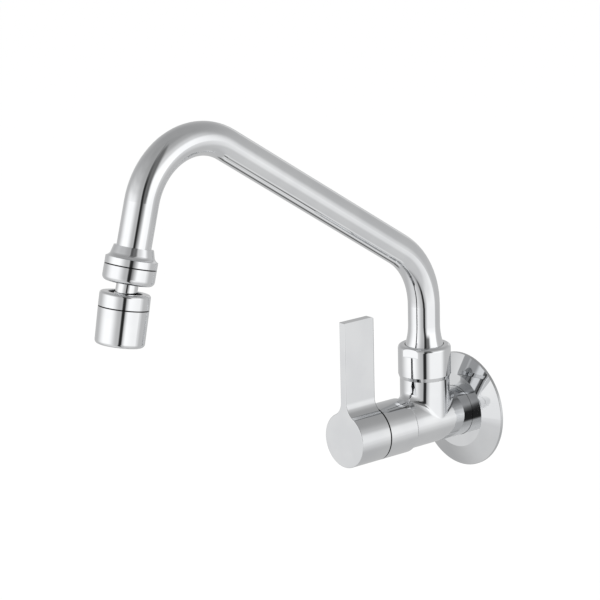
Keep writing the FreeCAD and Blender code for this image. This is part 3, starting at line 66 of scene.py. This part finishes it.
# Small bright and dark things in the tent: azimuth, elevation, radius and level.
SPOTS = ((-150, 10, 13, 0.72), (-110, 0, 10, 0.72), (-116, -56, 9, 0.12), (-122, -72, 6, 0.85),
         (-150, -79, 4.5, 0.85), (165, -80, 5, 0.16), (134, -75, 6, 0.80))
SPOT_CORE = 1 / 3
TENT_LEVEL = 0.93
BRIGHTEST_STOP = 2.0


class Graph:
    """A node tree with short calls for its sums, ramps and mixes."""

    def __init__(self, tree):
        self.tree = tree

    def add(self, kind, **settings):
        node = self.tree.nodes.new(kind)
        for key, setting in settings.items():
            setattr(node, key, setting)
        return node

    def feed(self, socket, source):
        """Links a socket into another, or sets it to a plain value."""
        if isinstance(source, bpy.types.NodeSocket):
            self.tree.links.new(source, socket)
        else:
            socket.default_value = source

    def math(self, operation, *terms):
        node = self.add("ShaderNodeMath", operation=operation)
        for socket, term in zip(node.inputs, terms):
            self.feed(socket, term)
        return node.outputs[0]

    def vector_math(self, operation, *terms):
        """The node itself, because a length is its output Value and a vector its first."""
        node = self.add("ShaderNodeVectorMath", operation=operation)
        for socket, term in zip(node.inputs, terms):
            self.feed(socket, term)
        return node

    def spread(self, value, low, high, start=0.0, end=1.0, smooth=True):
        """Carries value from low..high to start..end, held flat beyond them."""
        node = self.add("ShaderNodeMapRange",
                        interpolation_type="SMOOTHSTEP" if smooth else "LINEAR")
        for name, term in (("Value", value), ("From Min", low), ("From Max", high),
                           ("To Min", start), ("To Max", end)):
            self.feed(node.inputs[name], term)
        return node.outputs[0]

    def window(self, value, span):
        """1 between the middle two of the four numbers, 0 outside the outer two."""
        opens = self.spread(value, span[0], span[1])
        closes = self.spread(value, span[2], span[3], 1.0, 0.0)
        return self.math("MULTIPLY", opens, closes)

    def blend(self, factor, under, over):
        node = self.add("ShaderNodeMix", data_type="FLOAT")
        self.feed(node.inputs[0], factor)
        self.feed(node.inputs[2], under)
        self.feed(node.inputs[3], over)
        return node.outputs[0]

    def tint(self, factor, under, over):
        """The same mix for two colours."""
        node = self.add("ShaderNodeMix", data_type="RGBA")
        self.feed(node.inputs[0], factor)
        self.feed(node.inputs[6], under)
        self.feed(node.inputs[7], over)
        return node.outputs[2]

    def stops(self, value, levels):
        """A level that follows the (place, level) pairs. A ramp's colours end at 1, so they
        are stored as shares of the brightest."""
        first, last = levels[0][0], levels[-1][0]
        ramp = self.add("ShaderNodeValToRGB")
        band = ramp.color_ramp
        band.interpolation = "EASE"
        while len(band.elements) < len(levels):
            band.elements.new(0.5)
        for element, (place, level) in zip(band.elements, levels):
            share = level / BRIGHTEST_STOP
            element.position = (place - first) / (last - first)
            element.color = (share, share, share, 1)
        self.feed(ramp.inputs[0], self.spread(value, first, last, smooth=False))
        return self.math("MULTIPLY", ramp.outputs[0], BRIGHTEST_STOP)


def toward(azimuth_degrees, elevation_degrees):
    """The direction from the faucet to that place in the tent."""
    bearing, climb = math.radians(azimuth_degrees), math.radians(elevation_degrees)
    return (math.cos(climb) * math.sin(bearing), -math.cos(climb) * math.cos(bearing),
            math.sin(climb))


world = bpy.data.worlds.new("tent")
bpy.context.scene.world = world
world.use_nodes = True
world.cycles.sampling_method = "NONE"
world.node_tree.nodes.clear()
sky = Graph(world.node_tree)
direction = sky.add("ShaderNodeTexCoord").outputs["Generated"]
along = sky.add("ShaderNodeSeparateXYZ")
sky.feed(along.inputs[0], direction)
from_wall = sky.math("MULTIPLY", along.outputs[1], -1.0)
azimuth = sky.math("DEGREES", sky.math("ARCTAN2", along.outputs[0], from_wall))
elevation = sky.math("DEGREES", sky.math("ARCSINE", along.outputs[2]))

seen = sky.spread(elevation, *WALL_CLIMB, WALL_LOW, WALL_HIGH)
for softbox_span, levels in ((KEY_SPAN, KEY_BY_ELEVATION), (FILL_SPAN, FILL_BY_ELEVATION)):
    seen = sky.blend(sky.window(azimuth, softbox_span), seen, sky.stops(elevation, levels))
shoulder = sky.math("MULTIPLY", sky.window(azimuth, SHOULDER_SPAN),
                    sky.window(elevation, SHOULDER_CLIMB))
seen = sky.blend(shoulder, seen, SHOULDER_LEVEL)
flag_centre = sky.spread(elevation, FLAG_LOW[0], FLAG_HIGH[0], FLAG_LOW[1], FLAG_HIGH[1])
off_flag = sky.math("ABSOLUTE", sky.math("SUBTRACT", azimuth, flag_centre))
flag = sky.spread(off_flag, *FLAG_HALF_WIDTH, 1.0, 0.0)
seen = sky.blend(flag, seen, sky.stops(elevation, FLAG_BY_ELEVATION))
for spot_azimuth, spot_elevation, spot_size, spot_level in SPOTS:
    lean = sky.vector_math("DOT_PRODUCT", direction, toward(spot_azimuth, spot_elevation))
    off_spot = sky.math("DEGREES", sky.math("ARCCOSINE", lean.outputs["Value"]))
    spot = sky.spread(off_spot, SPOT_CORE * spot_size, spot_size, 1.0, 0.0)
    seen = sky.blend(spot, seen, spot_level)

rays = sky.add("ShaderNodeLightPath")
white_to = sky.math("MAXIMUM", rays.outputs["Is Camera Ray"], rays.outputs["Is Transmission Ray"])
level = sky.blend(rays.outputs["Is Glossy Ray"], TENT_LEVEL, seen)
tent = sky.add("ShaderNodeBackground")
tent.inputs["Color"].default_value = (1, 1, 1, 1)
sky.feed(tent.inputs["Strength"], sky.blend(white_to, level, 1.0))
sky.tree.links.new(tent.outputs[0], sky.add("ShaderNodeOutputWorld").inputs["Surface"])


# Ground: a sheet of white paper under the faucet, which hangs clear of it. Chrome looks
# through it to the tent's cloth below, and the camera sees it lifted to the photograph's white.
FLOOR_DROP = 0.60
FLOOR_SIZE = 12.0
FLOOR_LIFT = 0.07

reach = FLOOR_SIZE / 2
floor_mesh = bpy.data.meshes.new("floor")
floor_mesh.from_pydata([(x, y, -FLOOR_DROP) for x, y in
                        ((-reach, -reach), (reach, -reach), (reach, reach), (-reach, reach))],
                       [], [(0, 1, 2, 3)])
floor = bpy.data.objects.new("floor", floor_mesh)
bpy.context.collection.objects.link(floor)
paper = bpy.data.materials.new("white_paper")
paper.use_nodes = True
paper.node_tree.nodes.clear()
sheet = Graph(paper.node_tree)
sheet_rays = sheet.add("ShaderNodeLightPath").outputs
matte = sheet.add("ShaderNodeBsdfDiffuse")
matte.inputs["Color"].default_value = (1, 1, 1, 1)
lift = sheet.add("ShaderNodeEmission")
sheet.feed(lift.inputs["Strength"],
           sheet.math("MULTIPLY", sheet_rays["Is Camera Ray"], FLOOR_LIFT))
lit = sheet.add("ShaderNodeAddShader")
sheet.feed(lit.inputs[0], matte.outputs[0])
sheet.feed(lit.inputs[1], lift.outputs[0])
choice = sheet.add("ShaderNodeMixShader")
sheet.feed(choice.inputs[0], sheet_rays["Is Glossy Ray"])
sheet.feed(choice.inputs[1], lit.outputs[0])
sheet.feed(choice.inputs[2], sheet.add("ShaderNodeBsdfTransparent").outputs[0])
sheet.feed(sheet.add("ShaderNodeOutputMaterial").inputs["Surface"], choice.outputs[0])
floor_mesh.materials.append(paper)


# Lamp and camera: one soft disc lamp over the faucet, which the chrome doesn't show, and the
# camera where the photograph's stood, found from the part's round edges and straight axes.
LAMP_AT = Vector((0.5, -0.9, 1.6))
LAMP_SIZE = 1.4
LAMP_POWER = 4.0
CAMERA_AT = Vector((1.1526, -1.1172, 0.4730))
CAMERA_RIGHT = Vector((0.6556, 0.7548, -0.0225))
CAMERA_UP = Vector((-0.1701, 0.1766, 0.9695))
CAMERA_LENS = 165.4

lamp = bpy.data.lights.new("soft_light", "AREA")
lamp.shape, lamp.size, lamp.energy = "DISK", LAMP_SIZE, LAMP_POWER
soft_light = bpy.data.objects.new("soft_light", lamp)
soft_light.location = LAMP_AT
soft_light.rotation_euler = (-LAMP_AT).to_track_quat("-Z", "Y").to_euler()
soft_light.visible_glossy = False
bpy.context.collection.objects.link(soft_light)

camera = bpy.data.objects.new("camera", bpy.data.cameras.new("camera"))
camera.data.lens = CAMERA_LENS
turn = Matrix((CAMERA_RIGHT, CAMERA_UP, CAMERA_RIGHT.cross(CAMERA_UP))).transposed()
camera.matrix_world = Matrix.Translation(CAMERA_AT) @ turn.to_4x4()
bpy.context.collection.objects.link(camera)
bpy.context.scene.camera = camera
bpy.context.scene.view_settings.view_transform = "Standard"


# Wall flange: a brass disc spun to a cone, polished and plated, slid over the body against the
# wall. Chrome close up has buffing hairlines, a little orange peel and the odd water mark.
CHROME_LIGHT, CHROME_DEEP = (0.84, 0.85, 0.86), (0.80, 0.81, 0.825)
MARK_SIZE, MARK_EDGES, DULL_EDGES = 0.02, (0.35, 0.65), (0.45, 0.75)
GLOSS = (0.025, 0.06)
PEEL_SIZE, PEEL_HEIGHT = 0.010, 3.0e-6
HAIRLINE_SIZE, HAIRLINE_HEIGHT = 0.0006, 2.0e-7
# Painted shade: the near-black colour painted into seams and the aerator ring's mouth, where shade
# falls in the gaps, and how far it spreads from them.
PAINTED_SEAM_SHADE = (0.04, 0.04, 0.042, 1)
PAINTED_SHADE_CORE, MOUTH_CORE = 0.7, 0.98
BUFFED_ROUND_Y = (30, 1, 30)
FLANGE_TONE = 0.80


def material(name):
    """A new material: the material, its graph, its shader and its place on the piece."""
    made = bpy.data.materials.new(name)
    made.use_nodes = True
    made.node_tree.nodes.clear()
    graph = Graph(made.node_tree)
    shader = graph.add("ShaderNodeBsdfPrincipled")
    graph.feed(graph.add("ShaderNodeOutputMaterial").inputs["Surface"], shader.outputs[0])
    place = graph.add("ShaderNodeTexCoord").outputs["Object"]
    return made, graph, shader, place


def noise(graph, place, size, detail=2.0, stretch=(1, 1, 1), seed=0):
    """Noise with features of that size in metres, drawn out along the stretched axes."""
    mapping = graph.add("ShaderNodeMapping")
    mapping.inputs["Location"].default_value = (seed, seed, seed)
    mapping.inputs["Scale"].default_value = [1 / (size * factor) for factor in stretch]
    graph.feed(mapping.inputs["Vector"], place)
    node = graph.add("ShaderNodeTexNoise")
    node.inputs["Scale"].default_value = 1.0
    node.inputs["Detail"].default_value = detail
    graph.feed(node.inputs["Vector"], mapping.outputs[0])
    return node.outputs[0]


def bump(graph, height, distance, under=None):
    """A normal raised by height times distance, over another normal if there is one."""
    node = graph.add("ShaderNodeBump")
    node.inputs["Strength"].default_value = 1.0
    node.inputs["Distance"].default_value = distance
    graph.feed(node.inputs["Height"], height)
    if under is not None:
        graph.feed(node.inputs["Normal"], under)
    return node.outputs[0]


def painted_shade_mask(graph, place, start, axis, station, half_width, reach_out):
    """Mask of painted shade: 1 within half_width of a station along an axis, no farther than
    reach_out from it.
    """
    offset = graph.vector_math("SUBTRACT", place, start).outputs[0]
    height = graph.vector_math("DOT_PRODUCT", offset, axis).outputs["Value"]
    sideways = graph.vector_math("CROSS_PRODUCT", offset, axis).outputs[0]
    radius = graph.vector_math("LENGTH", sideways).outputs["Value"]
    off_seam = graph.math("ABSOLUTE", graph.math("SUBTRACT", height, station))
    return graph.math(
        "MULTIPLY",
        graph.spread(off_seam, PAINTED_SHADE_CORE * half_width, half_width, 1.0, 0.0),
        graph.spread(radius, MOUTH_CORE * reach_out, reach_out, 1.0, 0.0))


def chrome(name, buffed, tone, seed, seams=()):
    """Mirror chrome of that tone, buffed along its stretch, with shade painted dark into its seams.
    """
    made, graph, shader, place = material(name)
    marks = noise(graph, place, MARK_SIZE, detail=4.0, seed=seed)
    light, deep = ([channel * tone for channel in plating] + [1.0]
                   for plating in (CHROME_LIGHT, CHROME_DEEP))
    colour = graph.tint(graph.spread(marks, *MARK_EDGES), light, deep)
    # Painted shade: each seam darkens the base colour where shade falls in its gap.
    for seam in seams:
        colour = graph.tint(painted_shade_mask(graph, place, *seam), colour, PAINTED_SEAM_SHADE)
    graph.feed(shader.inputs["Base Color"], colour)
    graph.feed(shader.inputs["Roughness"], graph.spread(marks, *DULL_EDGES, *GLOSS))
    shader.inputs["Metallic"].default_value = 1.0
    peel = bump(graph, noise(graph, place, PEEL_SIZE, detail=1.0, seed=seed), PEEL_HEIGHT)
    hairlines = noise(graph, place, HAIRLINE_SIZE, stretch=buffed, seed=seed)
    graph.feed(shader.inputs["Normal"], bump(graph, hairlines, HAIRLINE_HEIGHT, peel))
    return made


def dress(piece, finish):
    for slot in nodes[piece].material_slots:
        slot.material = finish


dress("wall_flange", chrome("chrome_wall_flange", BUFFED_ROUND_Y, FLANGE_TONE, seed=0))


# Valve body: one brass casting, polished and plated, with the half-inch pipe thread of the
# inlet tail cut behind the wall. The CAD tail is plain, so its skin is taken down to the
# thread's root here and the thread is wound on it.
BODY_TONE, THREAD_TONE = 0.98, 0.9
BUFFED_ALONG_Y = (1, 30, 1)
TAIL_RADIUS = 0.01048
TAIL_REAR = -0.0011
TAIL_SKIN = 2e-5
WELD = 1e-6
SOFTEST_EDGE = math.radians(30)
ROOT_RADIUS = 0.0093
ROOT_SINK = 0.0001
THREAD_START, THREAD_END = 0.0008, 0.0190
THREAD_PITCH = 0.001814
THREAD_HALF_WIDTH = 0.00082
THREAD_STEPS = 72


def linked(name, mesh, body):
    """A piece at the origin that rides on a body and takes a slot's finish."""
    piece = bpy.data.objects.new(name, mesh)
    bpy.context.collection.objects.link(piece)
    for polygon in mesh.polygons:
        polygon.use_smooth = True
    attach(piece, body)
    return piece


class Jig(Graph):
    """A Geometry Nodes tree with named inputs, run once into a plain mesh."""

    def __init__(self, name):
        super().__init__(bpy.data.node_groups.new(name, "GeometryNodeTree"))
        self.tree.interface.new_socket("Geometry", in_out="OUTPUT",
                                       socket_type="NodeSocketGeometry")
        self.given = {}
        self.source = self.add("NodeGroupInput")

    def size(self, name, setting):
        """A named input of the tree, with the size, count or finish it gets."""
        kind = {int: "NodeSocketInt", float: "NodeSocketFloat"}.get(type(setting),
                                                                    "NodeSocketMaterial")
        made = self.tree.interface.new_socket(name, in_out="INPUT", socket_type=kind)
        self.given[made.identifier] = setting
        return self.source.outputs[name]

    def node(self, kind, settings=None, **sockets):
        """A node with its inputs fed by name, underscores for spaces."""
        made = self.add(kind, **(settings or {}))
        for name, term in sockets.items():
            self.feed(made.inputs[name.replace("_", " ")], term)
        return made

    def vector(self, x=0.0, y=0.0, z=0.0):
        return self.node("ShaderNodeCombineXYZ", X=x, Y=y, Z=z).outputs[0]

    def join(self, *shapes):
        node = self.add("GeometryNodeJoinGeometry")
        for shape in reversed(shapes):
            self.feed(node.inputs[0], shape)
        return node.outputs[0]

    def harvest(self, geometry, finish):
        """Ends the tree, runs it and returns its plain mesh."""
        real = self.node("GeometryNodeRealizeInstances", Geometry=geometry).outputs[0]
        coated = self.node("GeometryNodeSetMaterial", Geometry=real,
                           Material=self.size("Finish", finish)).outputs[0]
        self.feed(self.add("NodeGroupOutput").inputs[0], coated)
        blank = bpy.data.objects.new("blank", bpy.data.meshes.new("blank"))
        bpy.context.collection.objects.link(blank)
        modifier = blank.modifiers.new("jig", "NODES")
        modifier.node_group = self.tree
        for identifier, setting in self.given.items():
            modifier[identifier] = setting
        evaluated = blank.evaluated_get(bpy.context.evaluated_depsgraph_get())
        mesh = bpy.data.meshes.new_from_object(evaluated)
        blank.modifiers.clear()
        bpy.data.objects.remove(blank)
        return mesh


casting = nodes["valve_body"].data.copy()
shape = bmesh.new()
shape.from_mesh(casting)
bmesh.ops.remove_doubles(shape, verts=shape.verts, dist=WELD)
for vertex in shape.verts:
    radius = math.hypot(vertex.co.x, vertex.co.z)
    if vertex.co.y > TAIL_REAR and abs(radius - TAIL_RADIUS) < TAIL_SKIN:
        vertex.co.x *= ROOT_RADIUS / radius
        vertex.co.z *= ROOT_RADIUS / radius
for edge in shape.edges:
    edge.smooth = edge.calc_face_angle(0.0) < SOFTEST_EDGE
shape.to_mesh(casting)
shape.free()
casting.materials.clear()
casting.materials.append(chrome("chrome_valve_body", BUFFED_ALONG_Y, BODY_TONE, seed=20))
valve_casting = linked("valve_casting", casting, "valve")
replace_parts(valve_casting, "valve_body")

winding = Jig("pipe_thread")
thread_length = THREAD_END - THREAD_START
sunk_root = winding.size("Root radius", ROOT_RADIUS - ROOT_SINK)
helix = winding.node("GeometryNodeCurveSpiral",
                     Resolution=winding.size("Steps per turn", THREAD_STEPS),
                     Rotations=winding.size("Turns", thread_length / THREAD_PITCH),
                     Start_Radius=sunk_root, End_Radius=sunk_root,
                     Height=winding.size("Length", thread_length)).outputs[0]
helix = winding.node("GeometryNodeSetCurveNormal", {"mode": "Z_UP"}, Curve=helix).outputs[0]
tooth_height = TAIL_RADIUS - ROOT_RADIUS
diamond = winding.node("GeometryNodeCurvePrimitiveCircle", Resolution=4,
                       Radius=winding.size("Tooth height", tooth_height + ROOT_SINK)).outputs[0]
tooth = winding.node("GeometryNodeTransform", Geometry=diamond,
                     Scale=winding.vector(1.0, THREAD_HALF_WIDTH / tooth_height, 1.0)).outputs[0]
ridge = winding.node("GeometryNodeCurveToMesh", Curve=helix, Profile_Curve=tooth,
                     Fill_Caps=True).outputs[0]
thread_chrome = chrome("chrome_thread", BUFFED_ALONG_Y, THREAD_TONE, seed=21)
thread = winding.harvest(ridge, thread_chrome)
thread.transform(Matrix.Translation((0, THREAD_END, 0)) @ Matrix.Rotation(math.pi / 2, 4, "X"))
linked("inlet_thread", thread, "valve")


# Lever and its trim ring: the lever is one casting, a cylinder with a flat upright blade, on
# the cartridge's splined spindle. A narrow gap parts it from the smooth ring round the cartridge,
# and shade is painted dark along it.
LEVER_GAP, LEVER_GAP_HALF_WIDTH = -0.0735, 0.0006
WHOLE_PIECE = 1.0
SLEEVE_TONE, LEVER_TONE = 0.97, 0.93
BUFFED_UP_BLADE = (1, 1, 30)

# Painted shade along the gap between lever and trim ring, on both pieces.
lever_seam = ((0, 0, 0), (0, 1, 0), LEVER_GAP, LEVER_GAP_HALF_WIDTH, WHOLE_PIECE)
dress("cartridge_sleeve",
      chrome("chrome_cartridge_sleeve", BUFFED_ROUND_Y, SLEEVE_TONE, seed=8,
             seams=(lever_seam,)))
dress("lever_handle",
      chrome("chrome_lever_handle", BUFFED_UP_BLADE, LEVER_TONE, seed=9,
             seams=(lever_seam,)))


# Spout: a brass tube bent twice, held in the valve's neck by a round nut with two wrench
# flats, and ended by a turned bell with a rounded nut under it, all polished and plated.
BUFFED_ROUND_Z = (30, 30, 1)
OUTLET_LEAN = math.radians(15)
BELL_STATION = -0.0205
SEAM_HALF_WIDTH = 0.0004
BENT = (20, 20, 20)


def leaning(angle):
    """Straight down, with its foot that much nearer the sink."""
    return 0.0, -math.sin(angle), -math.cos(angle)


ball_centre = next(joint["pos_m"] for joint in frame["joints"]
                   if joint["name"] == "aerator_spin")
# Painted shade in the seam between the outlet bell and the connector nut.
bell_seam = (ball_centre, leaning(OUTLET_LEAN), BELL_STATION, SEAM_HALF_WIDTH, WHOLE_PIECE)
dress("spout_nut", chrome("chrome_spout_nut", BUFFED_ROUND_Z, 1.0, seed=1))
dress("spout_tube", chrome("chrome_spout_tube", BENT, 1.0, seed=2))
for seed, piece in enumerate(("outlet_bell", "connector_nut"), 3):
    dress(piece, chrome(f"chrome_{piece}", BUFFED_ROUND_Z, 1.0, seed, (bell_seam,)))


# Aerator on its ball joint: a polished ball on a stem, held by a ring that screws into the
# barrel. The ring's mouth and the seam between ring and barrel have shade painted dark into them.
AERATOR_LEAN = math.radians(11)
RING_STATION = 0.0021
MOUTH_STATION, MOUTH_HALF_WIDTH, MOUTH_RADIUS = -0.0046, 0.0017, 0.0096

aerator_axis = leaning(AERATOR_LEAN)
ring_seam = (ball_centre, aerator_axis, RING_STATION, SEAM_HALF_WIDTH, WHOLE_PIECE)
ring_mouth = (ball_centre, aerator_axis, MOUTH_STATION, MOUTH_HALF_WIDTH, MOUTH_RADIUS)
for seed, (piece, seams) in enumerate((("ball_stem", ()), ("socket_ring", (ring_seam, ring_mouth)),
                                       ("aerator_shell", (ring_seam,))), 5):
    dress(piece, chrome(f"chrome_{piece}", BUFFED_ROUND_Z, 1.0, seed, seams))


# Wire screens of the aerator: two flat woven discs behind the honeycomb, and a domed strainer
# over the jets, all of fine stainless wire in a plain weave. Each is laid round the ball's
# centre as radius, station down the aerator, rise of the dome and pitch of the weave.
AERATOR_PLACE = Matrix.Translation(ball_centre) @ Matrix.Rotation(math.pi - AERATOR_LEAN, 4, "X")
WIRE_RADIUS = 0.00009
WIRE_SIDES = 5
SCREENS = {
    "outlet_screens": ((0.00950, 0.01987, 0.0, 0.00065), (0.00950, 0.01887, 0.0, 0.00065)),
    "inlet_strainer": ((0.00868, 0.01102, 0.0014, 0.0006),),
}
WIRE_LIGHT, WIRE_DEEP = (0.62, 0.62, 0.61), (0.55, 0.55, 0.54)
WIRE_ROUGHNESS = (0.22, 0.34)
CLOUD_SIZE, CLOUD_EDGES, SHEEN_EDGES = 0.006, (0.35, 0.65), (0.3, 0.7)
GRAIN_SIZE, GRAIN_HEIGHT = 0.0008, 2e-6
EVEN = (1, 1, 1)


def cloudy(name, light, deep, roughness, metallic, stretch=EVEN, seed=0):
    """A finish that drifts between two tones, with a fine grain drawn out by stretch."""
    made, graph, shader, place = material(name)
    cloud = noise(graph, place, CLOUD_SIZE, detail=3.0, stretch=stretch, seed=seed)
    graph.feed(shader.inputs["Base Color"],
               graph.tint(graph.spread(cloud, *CLOUD_EDGES), (*deep, 1), (*light, 1)))
    graph.feed(shader.inputs["Roughness"], graph.spread(cloud, *SHEEN_EDGES, *roughness))
    shader.inputs["Metallic"].default_value = metallic
    grain = noise(graph, place, GRAIN_SIZE, stretch=stretch, seed=seed)
    graph.feed(shader.inputs["Normal"], bump(graph, grain, GRAIN_HEIGHT))
    return made


def parallel_wires(jig, radius, pitch, rise, side):
    """Parallel wires in a disc, waved to pass over and under those of the other side, which
    is -1 and turned a quarter. They have four points to a wave."""
    count = jig.math("FLOOR", jig.math("DIVIDE", radius, pitch))
    half_row = jig.math("MULTIPLY", count, pitch)
    start = jig.math("MULTIPLY", half_row, -1.0)
    places = jig.math("ADD", jig.math("MULTIPLY", count, 2.0), 1.0)
    steps = jig.math("ADD", jig.math("MULTIPLY", count, 4.0), 1.0)
    row = jig.node("GeometryNodeMeshLine", {"mode": "END_POINTS"}, Count=places,
                   Start_Location=jig.vector(start), Offset=jig.vector(half_row)).outputs[0]
    strand = jig.node("GeometryNodeMeshLine", {"mode": "END_POINTS"}, Count=steps,
                      Start_Location=jig.vector(0.0, start),
                      Offset=jig.vector(0.0, half_row)).outputs[0]
    strands = jig.node("GeometryNodeInstanceOnPoints", Points=row, Instance=strand).outputs[0]
    strands = jig.node("GeometryNodeRealizeInstances", Geometry=strands).outputs[0]

    point = jig.add("GeometryNodeInputPosition").outputs[0]
    x_and_y = jig.node("ShaderNodeSeparateXYZ", Vector=point).outputs[:2]
    waves = [jig.math("COSINE", jig.math("MULTIPLY", jig.math("DIVIDE", way, pitch), math.pi))
             for way in x_and_y]
    wave = jig.math("MULTIPLY", jig.math("MULTIPLY", *waves), side * WIRE_RADIUS)
    off_centre = jig.vector_math("LENGTH", point).outputs["Value"]
    share = jig.math("DIVIDE", off_centre, radius)
    dome = jig.math("MULTIPLY", jig.math("SUBTRACT", 1.0, jig.math("MULTIPLY", share, share)), rise)
    outside = jig.math("GREATER_THAN", off_centre, radius)
    strands = jig.node("GeometryNodeDeleteGeometry", {"domain": "POINT"}, Geometry=strands,
                       Selection=outside).outputs[0]
    strands = jig.node("GeometryNodeSetPosition", Geometry=strands,
                       Offset=jig.vector(0.0, 0.0, jig.math("SUBTRACT", wave, dome))).outputs[0]
    if side < 0:
        quarter = jig.vector(0.0, 0.0, math.pi / 2)
        strands = jig.node("GeometryNodeTransform", Geometry=strands, Rotation=quarter).outputs[0]
    return strands


def woven(radius, rise, pitch, finish):
    jig = Jig("woven_screen")
    sizes = jig.size("Radius", radius), jig.size("Pitch", pitch), jig.size("Rise", rise)
    cloth = jig.join(*(parallel_wires(jig, *sizes, side) for side in (1, -1)))
    lines = jig.node("GeometryNodeMeshToCurve", Mesh=cloth).outputs[0]
    section = jig.node("GeometryNodeCurvePrimitiveCircle", Resolution=WIRE_SIDES,
                       Radius=jig.size("Wire radius", WIRE_RADIUS)).outputs[0]
    wires = jig.node("GeometryNodeCurveToMesh", Curve=lines, Profile_Curve=section,
                     Fill_Caps=True).outputs[0]
    return jig.harvest(wires, finish)


wire_steel = cloudy("wire_steel", WIRE_LIGHT, WIRE_DEEP, WIRE_ROUGHNESS, 1.0)
for piece, layers in SCREENS.items():
    stack = bmesh.new()
    for radius, station, rise, pitch in layers:
        layer = woven(radius, rise, pitch, wire_steel)
        layer.transform(AERATOR_PLACE @ Matrix.Translation((0, 0, station)))
        stack.from_mesh(layer)
    wire_mesh = bpy.data.meshes.new(f"{piece}_wire")
    stack.to_mesh(wire_mesh)
    stack.free()
    wire_mesh.materials.append(wire_steel)
    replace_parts(linked(f"{piece}_wire", wire_mesh, "aerator"), piece)


# Turned brass: the spout's foot, whose collar the nut traps, and the cartridge's housing and
# spindle. They are left as the lathe leaves them, with fine rings round their axes.
BRASS_LIGHT, BRASS_DEEP, BRASS_ROUGHNESS = (0.80, 0.58, 0.27), (0.72, 0.50, 0.20), (0.20, 0.32)
TURNED_ROUND_Y, TURNED_ROUND_Z = (60, 1, 60), (60, 60, 1)


def finish_pieces(pieces, *tones, stretch=EVEN):
    """Dresses the pieces, each given with the seed of its clouds, in their own cloudy finish."""
    for piece, seed in pieces.items():
        dress(piece, cloudy(f"finish_{piece}", *tones, stretch=stretch, seed=seed))


brass = (BRASS_LIGHT, BRASS_DEEP, BRASS_ROUGHNESS, 1.0)
finish_pieces({"spout_foot": 0}, *brass, stretch=TURNED_ROUND_Z)
finish_pieces({"cartridge_housing": 1, "spindle": 2}, *brass, stretch=TURNED_ROUND_Y)


# Stainless steel: the clip that keeps the spindle in its housing, punched from spring sheet,
# and the grub screw that locks the lever on the spindle.
STEEL_LIGHT, STEEL_DEEP, STEEL_ROUGHNESS = (0.63, 0.63, 0.62), (0.54, 0.54, 0.53), (0.24, 0.36)

steel = (STEEL_LIGHT, STEEL_DEEP, STEEL_ROUGHNESS, 1.0)
finish_pieces({"spindle_circlip": 3}, *steel)
finish_pieces({"grub_screw": 4}, *steel, stretch=TURNED_ROUND_Z)


# Seals: moulded black rubber rings round the flange, the spout's foot, the ball, the housing
# and the spindle, with a soft powdery surface.
RUBBER_LIGHT, RUBBER_DEEP = (0.028, 0.028, 0.029), (0.012, 0.012, 0.013)
RUBBER_ROUGHNESS = (0.45, 0.65)

finish_pieces({"flange_o_ring": 6, "spout_o_rings": 7, "ball_seal": 8, "aerator_washer": 9,
               "seat_seal": 10, "housing_o_ring": 11, "spindle_o_rings": 12},
              RUBBER_LIGHT, RUBBER_DEEP, RUBBER_ROUGHNESS, 0.0)


# Connector washer: red vulcanised fibre, punched from sheet, squeezed under the rounded nut.
# It has a dry, slightly mottled face.
FIBRE_LIGHT, FIBRE_DEEP, FIBRE_ROUGHNESS = (0.43, 0.11, 0.065), (0.34, 0.075, 0.045), (0.6, 0.8)

finish_pieces({"connector_washer": 13}, FIBRE_LIGHT, FIBRE_DEEP, FIBRE_ROUGHNESS, 0.0)


# Bearings: white acetal, moulded, where brass would rub on brass. They are the spindle's
# thrust washer, the two slip rings of the spout, the ball's liner and the seal's carrier.
ACETAL_LIGHT, ACETAL_DEEP = (0.86, 0.86, 0.83), (0.80, 0.80, 0.77)
ACETAL_ROUGHNESS = (0.30, 0.42)

finish_pieces({"thrust_washer": 5, "lower_slip_ring": 14, "upper_slip_ring": 15,
               "ball_liner": 16, "seal_carrier": 17},
              ACETAL_LIGHT, ACETAL_DEEP, ACETAL_ROUGHNESS, 0.0)


# Aerator insert and jet plate: grey moulded plastic, pushed into the barrel from above. The
# insert's honeycomb is what shows at the outlet.
GREY_LIGHT, GREY_DEEP, GREY_ROUGHNESS = (0.49, 0.50, 0.51), (0.42, 0.43, 0.44), (0.34, 0.48)

finish_pieces({"aerator_insert": 18, "jet_plate": 19}, GREY_LIGHT, GREY_DEEP, GREY_ROUGHNESS, 0.0)


# Cartridge discs: two lapped discs of white alumina, face to face. One is held in the housing
# and the spindle turns the other on it.
ALUMINA_LIGHT, ALUMINA_DEEP = (0.89, 0.87, 0.83), (0.84, 0.82, 0.77)
ALUMINA_ROUGHNESS = (0.10, 0.18)

finish_pieces({"fixed_disc": 20, "moving_disc": 21},
              ALUMINA_LIGHT, ALUMINA_DEEP, ALUMINA_ROUGHNESS, 0.0)


# Grub plug: a small domed plastic plug with a metal look, pressed over the grub screw under
# the lever.
PLUG_LIGHT, PLUG_DEEP, PLUG_ROUGHNESS = (0.46, 0.46, 0.47), (0.40, 0.40, 0.41), (0.22, 0.32)
PLUG_METALLIC = 0.6

finish_pieces({"grub_plug": 22}, PLUG_LIGHT, PLUG_DEEP, PLUG_ROUGHNESS, PLUG_METALLIC)
